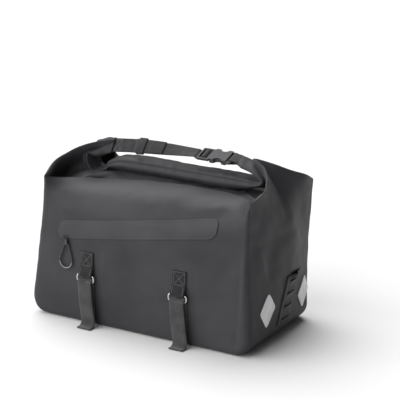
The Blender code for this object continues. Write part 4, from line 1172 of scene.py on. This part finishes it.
FABRIC = coated_fabric("coated_fabric_black", (0.0290, 0.0290, 0.0318), (0.0406, 0.0406, 0.0446), 0.50)
FABRIC_FLAP = coated_fabric("coated_fabric_flap", (0.0400, 0.0400, 0.0434), (0.0514, 0.0514, 0.0562), 0.48)
# The handle's webbing: a lighter copy of the anchors' webbing, its tone painted light for the lamp on its
# upward face
HANDLE_WEBBING_LIT = woven("handle_webbing_painted_lit", (0.019, 0.019, 0.0205), (0.034, 0.034, 0.036), 0.75, 190.0, 0.15)
WEBBING = woven("black_webbing", (0.010, 0.010, 0.011), (0.020, 0.020, 0.021), 0.75, 190.0, 0.15)
HOOK_LOOP = woven("black_hook_and_loop", (0.033, 0.0335, 0.034), (0.054, 0.0545, 0.055), 0.92, 260.0, 0.30)
THREAD = moulded("sewing_thread", (0.055, 0.055, 0.058), 0.60)
# Painted shade: near-black for the shade inside the zip garage's opening, the light loop's slits and its
# gaping top
PAINTED_SHADE = moulded("painted_shade_black", (0.010, 0.010, 0.010), 0.80)
PLASTIC = moulded("grey_buckle_plastic", (0.050, 0.050, 0.053), 0.50, Specular_IOR_Level=0.15)
DARK_PLASTIC = moulded("black_slider", (0.030, 0.030, 0.032), 0.40)
CORD = moulded("black_cord", (0.018, 0.018, 0.019), 0.55, 0.6)
# Light grey that paints the highlight on the zip pull's glossy lower half
SLEEVE_GLINT = moulded("sleeve_painted_highlight", (0.20, 0.20, 0.21), 0.32)
REFLECTIVE = reflective()
STEEL = ring_metal()


def keep(name, finish, bevel=0.0, rounds=0):
    """A solid of the frame whose shape is right: it stays, with a finer finish and softer edges."""
    item = NODES[name]
    if not item.data.materials:
        item.data.materials.append(finish)
    for slot_of in item.material_slots:
        slot_of.link = "OBJECT"
        slot_of.material = finish
    item.modifiers.new("join", "WELD").merge_threshold = 0.00001
    if bevel:
        soften(item, bevel, 3, 35)
    if rounds:
        round_off = item.modifiers.new("rounder", "SUBSURF")
        round_off.levels = round_off.render_levels = rounds


SKIN = build_shell()
build_roll()
build_handle()
build_flap()
build_zip()
for strap_side in ("front", "back"):
    build_rail_strap(f"{strap_side}_left", strap_side, STRAP_LEFT)
    build_rail_strap(f"{strap_side}_right", strap_side, STRAP_RIGHT)
    for strap_end in ("left", "right"):
        keep(f"ring_{strap_side}_{strap_end}", STEEL, rounds=2)
for end_side in ("right", "left"):
    for film, film_along, film_rise in REFLECTORS:
        build_reflector(f"{end_side}_{film}", end_side, film_along, film_rise)
    build_light_loop(end_side, end_side)
keep("buckle_male", PLASTIC, 0.0005)
keep("buckle_female", PLASTIC, 0.0006)
keep("zip_slider", DARK_PLASTIC, 0.0003)


# Stage, light and camera

FLOOR_REACH = 12.0
FLOOR_DROP = 0.0004
# The photograph's view: degrees, metres, and the focal length in pixels of a 400 pixel picture
VIEW_AZIMUTH = 26.328
VIEW_ELEVATION = 15.225
VIEW_ROLL = 2.874
VIEW_DISTANCE = 2.5
VIEW_TARGET = Vector((0.04113, 0, 0.20546))
VIEW_FOCAL = 1529.8
SENSOR_WIDTH = 36


def soft_light(name, towards, spread, strength):
    """A wide light that shines evenly from one direction."""
    data = bpy.data.lights.new(name, "SUN")
    data.energy = strength
    data.angle = math.radians(spread)
    add(name, data).rotation_euler = Vector(towards).to_track_quat("Z", "Y").to_euler()


def build_stage():
    mesh = bpy.data.meshes.new("floor")
    square = ((-1, -1), (1, -1), (1, 1), (-1, 1))
    corners = [(FLOOR_REACH * a, FLOOR_REACH * b, -FLOOR_DROP) for a, b in square]
    mesh.from_pydata(corners, [], [(0, 1, 2, 3)])
    mesh.materials.append(shader("pale_floor", (0.73, 0.73, 0.73), 0.75)[0])
    add("floor", mesh)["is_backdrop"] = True
    world = bpy.data.worlds.new("studio")
    world.use_nodes = True
    back = world.node_tree.nodes["Background"]
    back.inputs["Color"].default_value = (1.0, 1.0, 1.0, 1)
    back.inputs["Strength"].default_value = 0.08
    bpy.context.scene.world = world
    soft_light("top_key", (-0.43, 0.30, 0.84), 60, 3.3)
    soft_light("front_fill", (-0.50, -0.80, 0.35), 80, 4.4)


def build_camera():
    azimuth, elevation, roll = [math.radians(a) for a in (VIEW_AZIMUTH, VIEW_ELEVATION, VIEW_ROLL)]
    level = math.cos(elevation)
    back = Vector((math.sin(azimuth) * level, -math.cos(azimuth) * level, math.sin(elevation)))
    data = bpy.data.cameras.new("photo_view")
    data.sensor_width = SENSOR_WIDTH
    data.lens = VIEW_FOCAL * SENSOR_WIDTH / 400
    data.dof.use_dof = False
    item = add("photo_view", data)
    item.location = VIEW_TARGET + back * VIEW_DISTANCE
    item.rotation_euler = (back.to_track_quat("Z", "Y") @ Quaternion((0, 0, 1), roll)).to_euler()
    bpy.context.scene.camera = item


build_stage()
build_camera()
bpy.context.scene.view_settings.view_transform = "Standard"

boxes = {"cad": CAD_BOX, "visual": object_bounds()}
boxes = {key: [[float(v) for v in corner] for corner in value] for key, value in boxes.items()}
